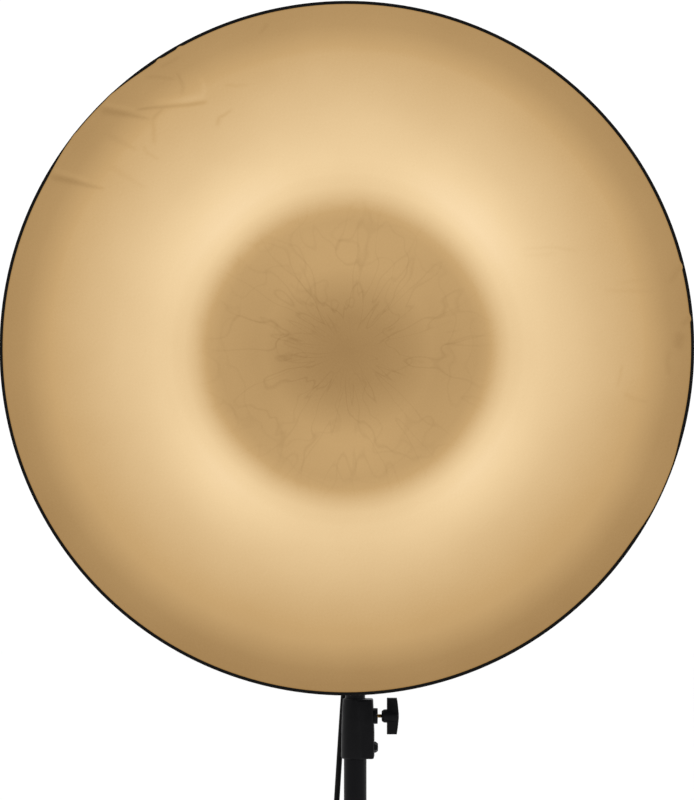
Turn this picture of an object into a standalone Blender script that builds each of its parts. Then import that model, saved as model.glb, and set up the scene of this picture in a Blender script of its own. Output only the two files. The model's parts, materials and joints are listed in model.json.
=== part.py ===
"""Lit beauty-dish reflector on a studio flash head, tilt bracket and folding light stand.

Every physical piece is its own named object. Metres, +Z up, +X right, and the lit face looks
along -Y. The stand is laid out around the column's axis, and the finished assembly is then moved
so that the middle of its footprint is at the world's origin, with its feet on z = 0.
"""

from math import asin, atan2, cos, degrees, hypot, pi, radians, sin

import bmesh
import bpy
from mathutils import Vector

# ---- clearances -------------------------------------------------------------------------------
FIT = 0.0003  # between pieces that are fixed to each other
RUN = 0.0005  # between pieces that turn or slide on each other

# ---- light stand ------------------------------------------------------------------------------
RISER_RADIUS = 0.0110
RISER_WALL = 0.0015
RISER_LENGTH = 0.650
RISER_TOP = 0.920
COLUMN_WALL = 0.0012
COLUMN_BOTTOM = 0.0165
COLUMN_TOP = 0.700
COLLAR_BOTTOM = 0.660
COLLAR_TOP = 0.726
COLLAR_WALL = 0.0024
COLLAR_TOP_WALL = 0.0021
COLLAR_SHOULDER = 0.026  # from the collar's top down to its full width
JAW_DEPTH = 0.0085  # from the column's outside to the face that the clamp screw enters
JAW_WIDTH = 0.0270
JAW_DRAFT = 0.0014  # how much less far the jaw reaches at its top
JAW_KNEE = 0.030  # from the jaw's foot up to where its draft starts
SCREW_BOSS_RADIUS = 0.0087
SCREW_BOSS_HEIGHT = 0.0038
CLAMP_SCREW_RADIUS = 0.0021
CLAMP_SCREW_HEIGHT = 0.7068
CLAMP_BOLT_RADIUS = 0.0030
CLAMP_BOLT_HEIGHT = 0.6725
CLAMP_BOLT_HEAD = 0.0068
KNOB_GAP = 0.0082  # from the jaw's face to the clamp knob
KNOB_LENGTH = 0.0186
KNOB_HUB_RADIUS = 0.0074
WING_HALF_SPAN = 0.0199
WING_THICKNESS = 0.0085
WING_START = 0.0058  # from the knob's near end to its wing
WING_BULGE = 0.0019  # how far the wing's middle stands beyond its tips
KNOB_SCREW_RADIUS = 0.0030
LEG_RADIUS = 0.0080
LEG_WALL = 0.0012
LEG_REACH = 0.490  # from a leg's pivot to the tip of its foot
LEG_SPREAD = radians(62.0)  # from straight down
LEG_END_HEIGHT = 0.005  # the leg's axis above the floor at the tip of the foot
LEG_PIVOT_RADIUS = 0.038
LEG_BRACE_DISTANCE = 0.232  # along the leg, from its pivot to the brace
BRACE_PIVOT_RADIUS = 0.020
BRACE_PIVOT_HEIGHT = 0.028
BRACE_WIDTH = 0.012
BRACE_THICKNESS = 0.0018
BRACE_GAP = 0.0010  # between a leg's side and a brace's strip
SADDLE_STEP = 0.0006  # how far the brace saddle stands proud of a leg
PIN_RADIUS = 0.0025
LUG_THICKNESS = 0.0032
LUG_RADIUS = 0.0070
HUB_WALL = 0.0032
LEG_COLLAR_WALL = 0.0070
LEG_COLLAR_HEIGHT = 0.034
FOOT_RADIUS = 0.0100
FOOT_LENGTH = 0.038
LEG_DIRECTIONS = [radians(-30.0), radians(90.0), radians(210.0)]
COLLAR_KNOB_DIRECTION = radians(30.0)

# ---- spigot, socket and tilt bracket ----------------------------------------------------------
SPIGOT_RADIUS = 0.0080
SPIGOT_LENGTH = 0.045
SOCKET_RADIUS = 0.0170
SOCKET_KNOB_HEIGHT = 0.950
PIVOT_HEIGHT = 1.000
TONGUE_HALF_WIDTH = 0.0135
CHEEK_THICKNESS = 0.0045
CHEEK_RADIUS = 0.0170
TILT_BOLT_RADIUS = 0.0040
LEVER_LENGTH = 0.055

# ---- flash head: d is the distance in front of the column's axis --------------------------------
OPTICAL_HEIGHT = 1.100
CASING_WIDTH = 0.116
CASING_HEIGHT = 0.124
CASING_CORNER = 0.026
CASING_WALL = 0.0022
CASING_FRONT = 0.084
CASING_REAR = -0.126
PANEL_THICKNESS = 0.004
MOUNT_OUTER = 0.070
MOUNT_OPENING = 0.0495
MOUNT_FRONT = 0.106
MOUNT_GROOVE = 0.054
BAYONET_TWIST = radians(30.0)
# The dials on the rear panel: name, right and up from the optical axis, radius
DIALS = [("power_dial", -0.024, 0.030, 0.0130), ("lamp_dial", 0.024, 0.030, 0.0110)]

# ---- reflector --------------------------------------------------------------------------------
DISH_RADIUS = 0.350  # outside of the elastic
ELASTIC_WIDTH = 0.0034
DISH_FRONT = 0.2992  # front face of the metal rim
DISH_SHEET = 0.0012
DISH_FLOOR_RADIUS = 0.080
BOWL_RADIUS = 0.325
BOWL_FRONT = 0.255
DEFLECTOR_RADIUS = 0.150
DEFLECTOR_BACK = 0.188
DEFLECTOR_SHEET = 0.0012
POST_RADIUS = 0.0030
POST_CIRCLE = 0.068
FABRIC_THICKNESS = 0.0008
DISH_STEPS = 40

# ---- mains lead -------------------------------------------------------------------------------
CORD_RADIUS = 0.00315
CORD_SPACING = 0.0185  # between the points that the tube follows
COIL_MIDDLE_RADIUS = 0.0375
COIL_COLUMNS = 2
COIL_LAYERS = 3
COIL_CENTRE = (-0.1640, 0.0780)
INLET_OFFSET = (-0.026, -0.034)  # on the rear panel, right and up from the optical axis

# ---- values that follow from the driving dimensions ---------------------------------------------
COLUMN_RADIUS = RISER_RADIUS + FIT + COLUMN_WALL
COLLAR_RADIUS = COLUMN_RADIUS + FIT + COLLAR_WALL
JAW_REACH = COLUMN_RADIUS + JAW_DEPTH
HUB_RADIUS = COLUMN_RADIUS + FIT + HUB_WALL
LEG_COLLAR_RADIUS = COLUMN_RADIUS + RUN + LEG_COLLAR_WALL
RISER_BORE = RISER_RADIUS - RISER_WALL
LEG_PIVOT_HEIGHT = LEG_END_HEIGHT + LEG_REACH * cos(LEG_SPREAD)
BRACE_REACH = LEG_PIVOT_RADIUS + LEG_BRACE_DISTANCE * sin(LEG_SPREAD) - BRACE_PIVOT_RADIUS
BRACE_RISE = LEG_PIVOT_HEIGHT - LEG_BRACE_DISTANCE * cos(LEG_SPREAD) - BRACE_PIVOT_HEIGHT
BRACE_LENGTH = hypot(BRACE_REACH, BRACE_RISE)
BRACE_ANGLE = atan2(BRACE_REACH, BRACE_RISE)
STRIP_INSIDE = LEG_RADIUS + BRACE_GAP
TONGUE_WIDTH = 2 * (STRIP_INSIDE - RUN)
LEG_FOOT_GAP = 0.006
DISH_BACK = MOUNT_FRONT + 0.0043
RIM_RADIUS = DISH_RADIUS - ELASTIC_WIDTH - 2 * FIT
CORD_COIL_HALF = COIL_COLUMNS * CORD_RADIUS
PANEL_FACE = CASING_REAR - FIT - PANEL_THICKNESS
CONNECTOR_END = PANEL_FACE - 0.062


# ---- building blocks ----------------------------------------------------------------------------
for old in list(bpy.data.objects):
    bpy.data.objects.remove(old, do_unlink=True)

PARTS = bpy.data.collections.new("beauty_dish_on_stand")
CUTTERS = bpy.data.collections.new("cutters")
bpy.context.scene.collection.children.link(PARTS)
bpy.context.scene.collection.children.link(CUTTERS)


def material(name, colour, roughness, metallic=0.0):
    made = bpy.data.materials.new(name)
    made.use_nodes = True
    shader = made.node_tree.nodes["Principled BSDF"]
    shader.inputs["Base Color"].default_value = (*colour, 1.0)
    shader.inputs["Roughness"].default_value = roughness
    shader.inputs["Metallic"].default_value = metallic
    made.diffuse_color = (*colour, 1.0)
    return made


BLACK_PAINT = material("black_paint", (0.012, 0.012, 0.014), 0.38)
BLACK_PLASTIC = material("black_plastic", (0.016, 0.016, 0.017), 0.50)
BLACK_RUBBER = material("black_rubber", (0.014, 0.014, 0.014), 0.80)
WHITE_PAINT = material("white_paint", (0.80, 0.80, 0.78), 0.55)
ZINC = material("yellow_zinc", (0.55, 0.38, 0.18), 0.35, 1.0)
STEEL = material("bright_steel", (0.62, 0.62, 0.63), 0.28, 1.0)
ALUMINIUM = material("aluminium", (0.60, 0.60, 0.61), 0.35, 1.0)
GLASS = material("lamp_glass", (0.92, 0.90, 0.84), 0.08)
CERAMIC = material("lamp_ceramic", (0.86, 0.84, 0.80), 0.45)
FABRIC = material("diffuser_fabric", (0.90, 0.80, 0.62), 0.85)
ELASTIC = material("black_elastic", (0.010, 0.010, 0.011), 0.90)
BOARD = material("circuit_board", (0.02, 0.16, 0.07), 0.45)
SLEEVE = material("capacitor_sleeve", (0.02, 0.05, 0.22), 0.40)


def empty(name, location=(0, 0, 0), rotation=(0, 0, 0), parent=None):
    made = bpy.data.objects.new(name, None)
    made.empty_display_size = 0.03
    made.location = location
    made.rotation_euler = rotation
    made.parent = parent
    CUTTERS.objects.link(made)
    return made


def place(name, data, look, parent, at=(0, 0, 0), turn=(0, 0, 0)):
    """An object of the assembly, or a hidden tool when it has no look of its own."""
    made = bpy.data.objects.new(name, data)
    made.parent = parent
    made.location = at
    made.rotation_euler = turn
    if look is None:
        CUTTERS.objects.link(made)
        made.hide_render = True
        made.display_type = "WIRE"
    else:
        PARTS.objects.link(made)
        data.materials.append(look)
    return made


def to_mesh(name, shape):
    mesh = bpy.data.meshes.new(name)
    shape.to_mesh(mesh)
    shape.free()
    mesh.shade_smooth()
    mesh.set_sharp_from_angle(angle=radians(35))
    return mesh


def bevelled(made, width, segments=2):
    if width:
        bevel = made.modifiers.new("rounded_edges", "BEVEL")
        bevel.width = width
        bevel.segments = segments
        bevel.limit_method = "ANGLE"
    return made


def block(name, size, at, look, parent, bevel=0.0, turn=(0, 0, 0)):
    shape = bmesh.new()
    bmesh.ops.create_cube(shape, size=1.0)
    bmesh.ops.scale(shape, vec=size, verts=shape.verts)
    return bevelled(place(name, to_mesh(name, shape), look, parent, at, turn), bevel)


AXIS_TURN = {"X": (0, pi / 2, 0), "Y": (-pi / 2, 0, 0), "Z": (0, 0, 0)}


def rod(name, radius, start, end, look, parent, axis="Z", at=(0, 0, 0), steps=14, end_radius=None):
    """A round bar between two distances along an axis through a point."""
    shape = bmesh.new()
    top = radius if end_radius is None else end_radius
    bmesh.ops.create_cone(
        shape, cap_ends=True, segments=steps, radius1=radius, radius2=top, depth=end - start
    )
    bmesh.ops.translate(shape, vec=(0, 0, (start + end) / 2), verts=shape.verts)
    return place(name, to_mesh(name, shape), look, parent, at, AXIS_TURN[axis])


def turned(name, profile, look, parent, steps=20, ring=False, at=(0, 0, 0), turn=(0, 0, 0)):
    """A profile of (radius, height) points, down its outer side, spun about its own Z."""
    mesh = bpy.data.meshes.new(name)
    last = len(profile) - 1
    edges = [(i, i + 1) for i in range(last)]
    if ring:
        edges.append((last, 0))
    mesh.from_pydata([(r, 0, z) for r, z in profile], edges, [])
    made = place(name, mesh, look, parent, at, turn)
    spin = made.modifiers.new("turned", "SCREW")
    spin.steps = steps
    spin.render_steps = steps
    spin.use_merge_vertices = True
    spin.merge_threshold = 0.00001
    spin.use_smooth_shade = True
    return made


def combine(target, operation, *tools):
    for tool in tools:
        join = target.modifiers.new(tool.name, "BOOLEAN")
        join.operation = operation
        join.object = tool
    return target


def arc(centre, radius, start, end, steps):
    """Points on an arc, angles in degrees counted from the first axis of the outline."""
    return [
        (
            centre[0] + radius * cos(radians(start + (end - start) * i / steps)),
            centre[1] + radius * sin(radians(start + (end - start) * i / steps)),
        )
        for i in range(steps + 1)
    ]


def capsule(start, end, radius, steps=5):
    """A bar with round ends, its middle line along the outline's second axis."""
    return arc((0, end), radius, 0, 180, steps) + arc((0, start), radius, 180, 360, steps)


def rounded_rectangle(width, height, corner, steps=4):
    x, y = width / 2 - corner, height / 2 - corner
    corners = [(x, y, 0), (-x, y, 90), (-x, -y, 180), (x, -y, 270)]
    return [p for cx, cy, a in corners for p in arc((cx, cy), corner, a, a + 90, steps)]


def plate(name, outlines, thickness, look, parent, at=(0, 0, 0), turn=(0, 0, 0)):
    """A flat outline, with holes for any further outlines, as a welded mesh."""
    curve = bpy.data.curves.new(name, "CURVE")
    curve.dimensions = "2D"
    curve.fill_mode = "BOTH"
    curve.extrude = thickness / 2
    for outline in outlines:
        spline = curve.splines.new("POLY")
        spline.points.add(len(outline) - 1)
        for point, (x, y) in zip(spline.points, outline):
            point.co = (x, y, 0, 1)
        spline.use_cyclic_u = True
    drawn = bpy.data.objects.new(name + "_outline", curve)
    PARTS.objects.link(drawn)
    seen = drawn.evaluated_get(bpy.context.evaluated_depsgraph_get())
    flat = bpy.data.meshes.new_from_object(seen)
    bpy.data.objects.remove(drawn)
    shape = bmesh.new()
    shape.from_mesh(flat)
    bmesh.ops.remove_doubles(shape, verts=shape.verts, dist=0.000002)
    bmesh.ops.recalc_face_normals(shape, faces=shape.faces)
    return place(name, to_mesh(name, shape), look, parent, at, turn)


UPRIGHT = (pi / 2, 0, 0)  # stands an outline up: its second axis along Z, its thickness along Y
SIDEWAYS = (pi / 2, 0, pi / 2)  # the same, then turned so that its thickness is along X


# ---- light stand --------------------------------------------------------------------------------
def t_knob(name, tip, start, screw_radius, parent, own_screw=True):
    """A T-shaped clamp knob that points along +X of its parent, its wing upright."""
    end = start + KNOB_LENGTH
    hub = KNOB_HUB_RADIUS
    profile = [
        (0, end), (hub - 0.0010, end), (hub, end - 0.0010), (hub, start + 0.0032),
        (hub - 0.0021, start),
    ]
    if own_screw:
        profile += [(screw_radius, start), (screw_radius, tip), (0, tip)]
    else:
        socket = start + 0.006
        profile += [(screw_radius + FIT, start), (screw_radius + FIT, socket), (0, socket)]
    knob = turned(name, profile, BLACK_PLASTIC, parent, steps=14, turn=AXIS_TURN["X"])
    curve = (WING_HALF_SPAN ** 2 + WING_BULGE ** 2) / (2 * WING_BULGE)
    swing = degrees(asin(WING_HALF_SPAN / curve))
    outline = arc((end - curve, 0), curve, swing, -swing, 6)
    outline += [(start + WING_START, -WING_HALF_SPAN), (start + WING_START, WING_HALF_SPAN)]
    wing = plate(name + "_wing", [outline], WING_THICKNESS, None, parent, turn=UPRIGHT)
    return combine(knob, "UNION", bevelled(wing, 0.0010, 1))


def spider(stand):
    floor, top = BRACE_PIVOT_HEIGHT - 0.016, BRACE_PIVOT_HEIGHT + 0.008
    bore = COLUMN_RADIUS + FIT
    hub = turned(
        "spider",
        [(0, COLUMN_BOTTOM - FIT), (bore, COLUMN_BOTTOM - FIT), (bore, top), (HUB_RADIUS, top),
         (HUB_RADIUS, floor + 0.001), (HUB_RADIUS - 0.001, floor), (0, floor)],
        BLACK_PLASTIC, stand,
    )
    for number, direction in enumerate(LEG_DIRECTIONS, 1):
        spoke = empty(f"spoke_{number}", rotation=(0, 0, direction), parent=stand)
        reach = BRACE_PIVOT_RADIUS
        inner = bore + 0.0012
        half = BRACE_WIDTH / 2
        outline = arc((reach, BRACE_PIVOT_HEIGHT), half, -90, 90, 5)
        outline += [(inner, BRACE_PIVOT_HEIGHT + half), (inner, BRACE_PIVOT_HEIGHT - half)]
        tongue = plate(f"tongue_{number}", [outline], TONGUE_WIDTH, None, spoke, turn=UPRIGHT)
        hole = rod(
            f"tongue_hole_{number}", PIN_RADIUS + RUN, -0.02, 0.02, None, spoke, "Y",
            (reach, 0, BRACE_PIVOT_HEIGHT), 16,
        )
        combine(hub, "UNION", tongue)
        combine(hub, "DIFFERENCE", hole)
    return hub


def column(stand):
    bore = RISER_RADIUS + FIT
    return turned(
        "column_tube",
        [(COLUMN_RADIUS, COLUMN_TOP), (COLUMN_RADIUS, COLUMN_BOTTOM), (bore, COLUMN_BOTTOM),
         (bore, COLUMN_TOP)],
        BLACK_PAINT, stand, ring=True,
    )


def leg_collar(slider):
    half = LEG_COLLAR_HEIGHT / 2
    bore = COLUMN_RADIUS + RUN
    collar = turned(
        "leg_collar",
        [(LEG_COLLAR_RADIUS - 0.001, half), (LEG_COLLAR_RADIUS, half - 0.001),
         (LEG_COLLAR_RADIUS, 0.001 - half), (LEG_COLLAR_RADIUS - 0.001, -half), (bore, -half),
         (bore, half)],
        BLACK_PLASTIC, slider, ring=True,
    )
    offset = STRIP_INSIDE + LUG_THICKNESS / 2
    for number, direction in enumerate(LEG_DIRECTIONS, 1):
        spoke = empty(f"lug_spoke_{number}", rotation=(0, 0, direction), parent=slider)
        outline = arc((LEG_PIVOT_RADIUS, 0), LUG_RADIUS, -90, 90, 5)
        outline += [(0.0160, half - 0.002), (0.0160, 0.002 - half)]
        for side in (-1, 1):
            lug = plate(
                f"lug_{number}_{side}", [outline], LUG_THICKNESS, None, spoke,
                (0, side * offset, 0), UPRIGHT,
            )
            combine(collar, "UNION", lug)
        hole = rod(
            f"lug_hole_{number}", PIN_RADIUS + FIT, -0.02, 0.02, None, spoke, "Y",
            (LEG_PIVOT_RADIUS, 0, 0), 16,
        )
        combine(collar, "DIFFERENCE", hole)
    knob_frame = empty("leg_collar_knob_axis", (0, 0, 0), (0, 0, COLLAR_KNOB_DIRECTION), slider)
    boss = rod("collar_boss", 0.0070, 0.0165, 0.0260, None, knob_frame, "X")
    thread = rod("collar_thread", KNOB_SCREW_RADIUS + FIT, 0.0080, 0.0300, None, knob_frame, "X")
    combine(collar, "UNION", boss)
    combine(collar, "DIFFERENCE", thread)
    t_knob("leg_collar_knob", COLUMN_RADIUS + FIT, 0.0268, KNOB_SCREW_RADIUS, knob_frame)


def leg(number, slider, root):
    """A leg and its foot, hanging along -Z of a frame on its pivot, which is swung out."""
    spoke = empty(f"leg_spoke_{number}", (0, 0, 0), (0, 0, LEG_DIRECTIONS[number - 1]), slider)
    at = (LEG_PIVOT_RADIUS, 0, 0)
    pivot = empty(f"leg_{number}_pivot", at, (0, -LEG_SPREAD, 0), spoke)
    head = 0.0105
    tube_end = LEG_FOOT_GAP - LEG_REACH
    saddle = LEG_RADIUS + SADDLE_STEP
    middle = -LEG_BRACE_DISTANCE
    bore = LEG_RADIUS - LEG_WALL
    tube = turned(
        f"leg_{number}",
        [(0, head), (0.006, head), (LEG_RADIUS, head - 0.002), (LEG_RADIUS, middle + 0.010),
         (saddle, middle + 0.009), (saddle, middle - 0.009), (LEG_RADIUS, middle - 0.010),
         (LEG_RADIUS, tube_end), (bore, tube_end), (bore, -0.010), (0, -0.010)],
        BLACK_PAINT, pivot, steps=16,
    )
    hole = rod(f"leg_hole_{number}", PIN_RADIUS + RUN, -0.02, 0.02, None, pivot, "Y", steps=16)
    combine(tube, "DIFFERENCE", hole)
    inside = LEG_RADIUS + FIT
    foot = turned(
        f"foot_{number}",
        [(0, tube_end - FIT), (inside, tube_end - FIT), (inside, FOOT_LENGTH - LEG_REACH),
         (FOOT_RADIUS - 0.0006, FOOT_LENGTH - LEG_REACH),
         (FOOT_RADIUS, FOOT_LENGTH - LEG_REACH - 0.0010), (FOOT_RADIUS, 0.0015 - LEG_REACH),
         (FOOT_RADIUS - 0.0015, -LEG_REACH), (0, -LEG_REACH)],
        BLACK_RUBBER, pivot, steps=16,
    )
    far = LEG_PIVOT_RADIUS + LEG_REACH * sin(LEG_SPREAD)
    direction = LEG_DIRECTIONS[number - 1]
    floor = block(
        f"floor_{number}", (0.12, 0.12, 0.04), (far * cos(direction), far * sin(direction), -0.02),
        None, root,
    )
    combine(foot, "DIFFERENCE", floor)
    outside = STRIP_INSIDE + LUG_THICKNESS + FIT
    turned(
        f"leg_pin_{number}",
        [(0, outside + 0.0016), (0.0040, outside + 0.0016), (0.0045, outside),
         (PIN_RADIUS, outside), (PIN_RADIUS, -outside), (0.0045, -outside),
         (0.0040, -outside - 0.0016), (0, -outside - 0.0016)],
        ZINC, spoke, steps=12, at=at, turn=AXIS_TURN["Y"],
    )


def brace(number, stand):
    """Two strips on either side of a leg, a web between them and the rivet they turn on."""
    heading = (0, 0, LEG_DIRECTIONS[number - 1])
    spoke = empty(f"brace_spoke_{number}", rotation=heading, parent=stand)
    at = (BRACE_PIVOT_RADIUS, 0, BRACE_PIVOT_HEIGHT)
    pivot = empty(f"brace_{number}_pivot", at, (0, BRACE_ANGLE, 0), spoke)
    outline = capsule(0, BRACE_LENGTH, BRACE_WIDTH / 2)
    offset = STRIP_INSIDE + BRACE_THICKNESS / 2
    made = plate(
        f"brace_{number}", [outline], BRACE_THICKNESS, BLACK_PAINT, pivot, (0, -offset, 0), UPRIGHT
    )
    other = plate(
        f"strip_{number}", [outline], BRACE_THICKNESS, None, pivot, (0, offset, 0), UPRIGHT
    )
    web = block(
        f"web_{number}", (BRACE_THICKNESS, 2 * offset, 0.040),
        (BRACE_THICKNESS / 2 - BRACE_WIDTH / 2 + 0.0002, 0, 0.038), None, pivot,
    )
    outside = STRIP_INSIDE + BRACE_THICKNESS
    rivet = rod(f"rivet_{number}", PIN_RADIUS, -outside - 0.001, outside + 0.001, None, pivot, "Y",
                steps=12)
    combine(made, "UNION", web, other, rivet)
    for side in (-1, 1):
        near, far = sorted((side * (outside - 0.0005), side * (outside + 0.0014)))
        for end, height in (("low", 0.0), ("high", BRACE_LENGTH)):
            head = rod(f"rivet_{end}_{number}_{side}", 0.0042, near, far, None, pivot, "Y",
                       (0, 0, height), 12)
            combine(made, "UNION", head)


def clamp_collar(stand):
    low, high, face = COLLAR_BOTTOM, COLLAR_TOP, JAW_REACH
    wide, narrow, step = COLUMN_RADIUS + FIT, RISER_RADIUS + RUN, COLUMN_TOP + FIT
    neck = narrow + COLLAR_TOP_WALL
    collar = turned(
        "clamp_collar",
        [(neck - 0.0010, high), (neck, high - 0.0010), (COLLAR_RADIUS, high - COLLAR_SHOULDER),
         (COLLAR_RADIUS + 0.0004, low + 0.0020), (COLLAR_RADIUS - 0.0010, low), (wide, low),
         (wide, step), (narrow, step), (narrow, high)],
        BLACK_PLASTIC, stand, steps=24, ring=True,
    )
    root, top = 0.001, high - FIT
    outline = [(root, low + FIT), (face, low + FIT), (face, low + JAW_KNEE),
               (face - JAW_DRAFT, top), (root, top)]
    jaw = bevelled(plate("collar_jaw", [outline], JAW_WIDTH, None, stand, turn=UPRIGHT), 0.0016)
    lower = rod("jaw_around_column", wide + 0.0004, low - 0.01, step + FIT, None, stand, steps=24)
    upper = rod("jaw_around_riser", narrow + 0.0004, step - 0.01, high + 0.01, None, stand,
                steps=24)
    combine(jaw, "DIFFERENCE", lower, upper)
    boss = rod("screw_boss", SCREW_BOSS_RADIUS, face - 0.0030, face + SCREW_BOSS_HEIGHT, None,
               stand, "X", (0, 0, CLAMP_SCREW_HEIGHT), 20)
    screw = rod("collar_screw_hole", CLAMP_SCREW_RADIUS + FIT, 0.005, 0.03, None, stand, "X",
                (0, 0, CLAMP_SCREW_HEIGHT))
    bolt = rod("collar_bolt_hole", CLAMP_BOLT_RADIUS + FIT, wide - 0.002, 0.03, None, stand, "X",
               (0, 0, CLAMP_BOLT_HEIGHT))
    combine(collar, "UNION", jaw, boss)
    combine(collar, "DIFFERENCE", screw, bolt)
    knob_axis = empty("clamp_knob_axis", (0, 0, CLAMP_SCREW_HEIGHT), parent=stand)
    tip, tail = RISER_RADIUS + FIT, face + KNOB_GAP + 0.0056
    turned(
        "clamp_screw",
        [(0, tail), (CLAMP_SCREW_RADIUS, tail), (CLAMP_SCREW_RADIUS, tip + 0.0008),
         (CLAMP_SCREW_RADIUS - 0.0008, tip), (0, tip)],
        ZINC, knob_axis, steps=16, turn=AXIS_TURN["X"],
    )
    t_knob("clamp_knob", 0, face + KNOB_GAP, CLAMP_SCREW_RADIUS, knob_axis, own_screw=False)
    hexagon = turned(
        "clamp_bolt",
        [(0, face + 0.0043), (CLAMP_BOLT_HEAD - 0.0012, face + 0.0043),
         (CLAMP_BOLT_HEAD, face + 0.0030), (CLAMP_BOLT_HEAD, face + FIT),
         (CLAMP_BOLT_RADIUS, face + FIT), (CLAMP_BOLT_RADIUS, wide + FIT), (0, wide + FIT)],
        BLACK_PAINT, stand, steps=6, at=(0, 0, CLAMP_BOLT_HEIGHT), turn=AXIS_TURN["X"],
    )
    hexagon.modifiers["turned"].use_smooth_shade = False


def riser(slider):
    turned(
        "riser_tube",
        [(RISER_RADIUS, RISER_TOP), (RISER_RADIUS, RISER_TOP - RISER_LENGTH),
         (RISER_BORE, RISER_TOP - RISER_LENGTH), (RISER_BORE, RISER_TOP)],
        BLACK_PAINT, slider, ring=True,
    )
    foot, seat = RISER_TOP - 0.030, RISER_TOP + FIT
    tip = seat + 0.004 + SPIGOT_LENGTH
    turned(
        "spigot",
        [(0, tip), (SPIGOT_RADIUS - 0.0015, tip), (SPIGOT_RADIUS, tip - 0.0015),
         (SPIGOT_RADIUS, tip - 0.014), (SPIGOT_RADIUS - 0.0015, tip - 0.016),
         (SPIGOT_RADIUS - 0.0015, tip - 0.026), (SPIGOT_RADIUS, tip - 0.028),
         (SPIGOT_RADIUS, seat + 0.004), (RISER_RADIUS, seat + 0.004), (RISER_RADIUS, seat),
         (RISER_BORE - FIT, seat), (RISER_BORE - FIT, foot), (0, foot)],
        ALUMINIUM, slider, steps=16,
    )


# ---- socket and tilt bracket --------------------------------------------------------------------
def yoke(swivel):
    """The socket that sits on the spigot, with the two cheeks that carry the tilt bolt."""
    seat = RISER_TOP + 2 * FIT + 0.004 + RUN
    bore = SPIGOT_RADIUS + RUN
    roof = seat + SPIGOT_LENGTH + 0.001
    deck = PIVOT_HEIGHT - CHEEK_RADIUS - 0.001
    barrel = turned(
        "yoke",
        [(0, deck - 0.002), (SOCKET_RADIUS, deck - 0.002), (SOCKET_RADIUS, seat + 0.001),
         (SOCKET_RADIUS - 0.001, seat), (bore, seat), (bore, roof), (0, roof)],
        BLACK_PLASTIC, swivel,
    )
    outside = TONGUE_HALF_WIDTH + RUN + CHEEK_THICKNESS
    base = block(
        "yoke_deck", (2 * outside, 0.030, 0.010), (0, 0, deck - 0.005), None, swivel, bevel=0.0015
    )
    combine(barrel, "UNION", base)
    outline = arc((0, PIVOT_HEIGHT), CHEEK_RADIUS - 0.001, 0, 180, 12)
    outline += [(-0.0145, deck - 0.008), (0.0145, deck - 0.008)]
    for side in (-1, 1):
        cheek = plate(
            f"cheek_{side}", [outline], CHEEK_THICKNESS, None, swivel,
            (side * (outside - CHEEK_THICKNESS / 2), 0, 0), SIDEWAYS,
        )
        combine(barrel, "UNION", cheek)
    boss = rod("socket_boss", 0.0080, SOCKET_RADIUS - 0.003, SOCKET_RADIUS + 0.004, None, swivel,
               "X", (0, 0, SOCKET_KNOB_HEIGHT))
    thread = rod("socket_thread", KNOB_SCREW_RADIUS + FIT, 0.004, 0.03, None, swivel, "X",
                 (0, 0, SOCKET_KNOB_HEIGHT))
    bolt = rod("cheek_hole", TILT_BOLT_RADIUS + FIT, -0.03, 0.03, None, swivel, "X",
               (0, 0, PIVOT_HEIGHT))
    combine(barrel, "UNION", boss)
    combine(barrel, "DIFFERENCE", thread, bolt)
    knob_axis = empty("socket_knob_axis", (0, 0, SOCKET_KNOB_HEIGHT), parent=swivel)
    t_knob("socket_knob", SPIGOT_RADIUS + FIT, SOCKET_RADIUS + 0.0046, KNOB_SCREW_RADIUS, knob_axis)
    pivot = empty("tilt_lever_axis", (0, 0, PIVOT_HEIGHT), parent=swivel)
    head, shank = outside + FIT, TILT_BOLT_RADIUS
    turned(
        "tilt_bolt",
        [(0, head + 0.005), (0.0065, head + 0.005), (0.0075, head + 0.004), (0.0075, head),
         (shank, head), (shank, -head - 0.009), (0, -head - 0.009)],
        STEEL, pivot, steps=18, turn=AXIS_TURN["X"],
    )
    hub_near, hub_far = -head - FIT, -head - 0.0125
    bore, blind = shank + RUN, -head - 0.0096
    lever = turned(
        "tilt_lever",
        [(0, blind), (bore, blind), (bore, hub_near), (0.0095, hub_near), (0.0095, hub_far + 0.002),
         (0.0080, hub_far), (0, hub_far)],
        BLACK_PLASTIC, pivot, steps=18, turn=AXIS_TURN["X"],
    )
    outline = arc((0, -LEVER_LENGTH), 0.0050, 180, 360, 8)
    outline += [(0.0075, -0.006), (-0.0075, -0.006)]
    arm = plate("lever_arm", [outline], 0.0070, None, pivot, (hub_far + 0.0040, 0, 0), SIDEWAYS)
    combine(lever, "UNION", bevelled(arm, 0.0015, 2))


# ---- flash head: frames whose +Z is the optical axis, towards the lit side ----------------------
def head_casing(optics):
    outline = rounded_rectangle(CASING_WIDTH, CASING_HEIGHT, CASING_CORNER)
    inside = rounded_rectangle(
        CASING_WIDTH - 2 * CASING_WALL, CASING_HEIGHT - 2 * CASING_WALL,
        CASING_CORNER - CASING_WALL,
    )
    length = CASING_FRONT - CASING_REAR
    casing = plate(
        "head_casing", [outline, inside], length, BLACK_PLASTIC, optics,
        (0, 0, (CASING_FRONT + CASING_REAR) / 2),
    )
    for number in range(7):
        slot = block(
            f"side_slot_{number}", (CASING_WIDTH + 0.02, 0.046, 0.0040),
            (0, 0.004, CASING_REAR + 0.034 + 0.0105 * number), None, optics,
        )
        combine(casing, "DIFFERENCE", slot)


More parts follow.
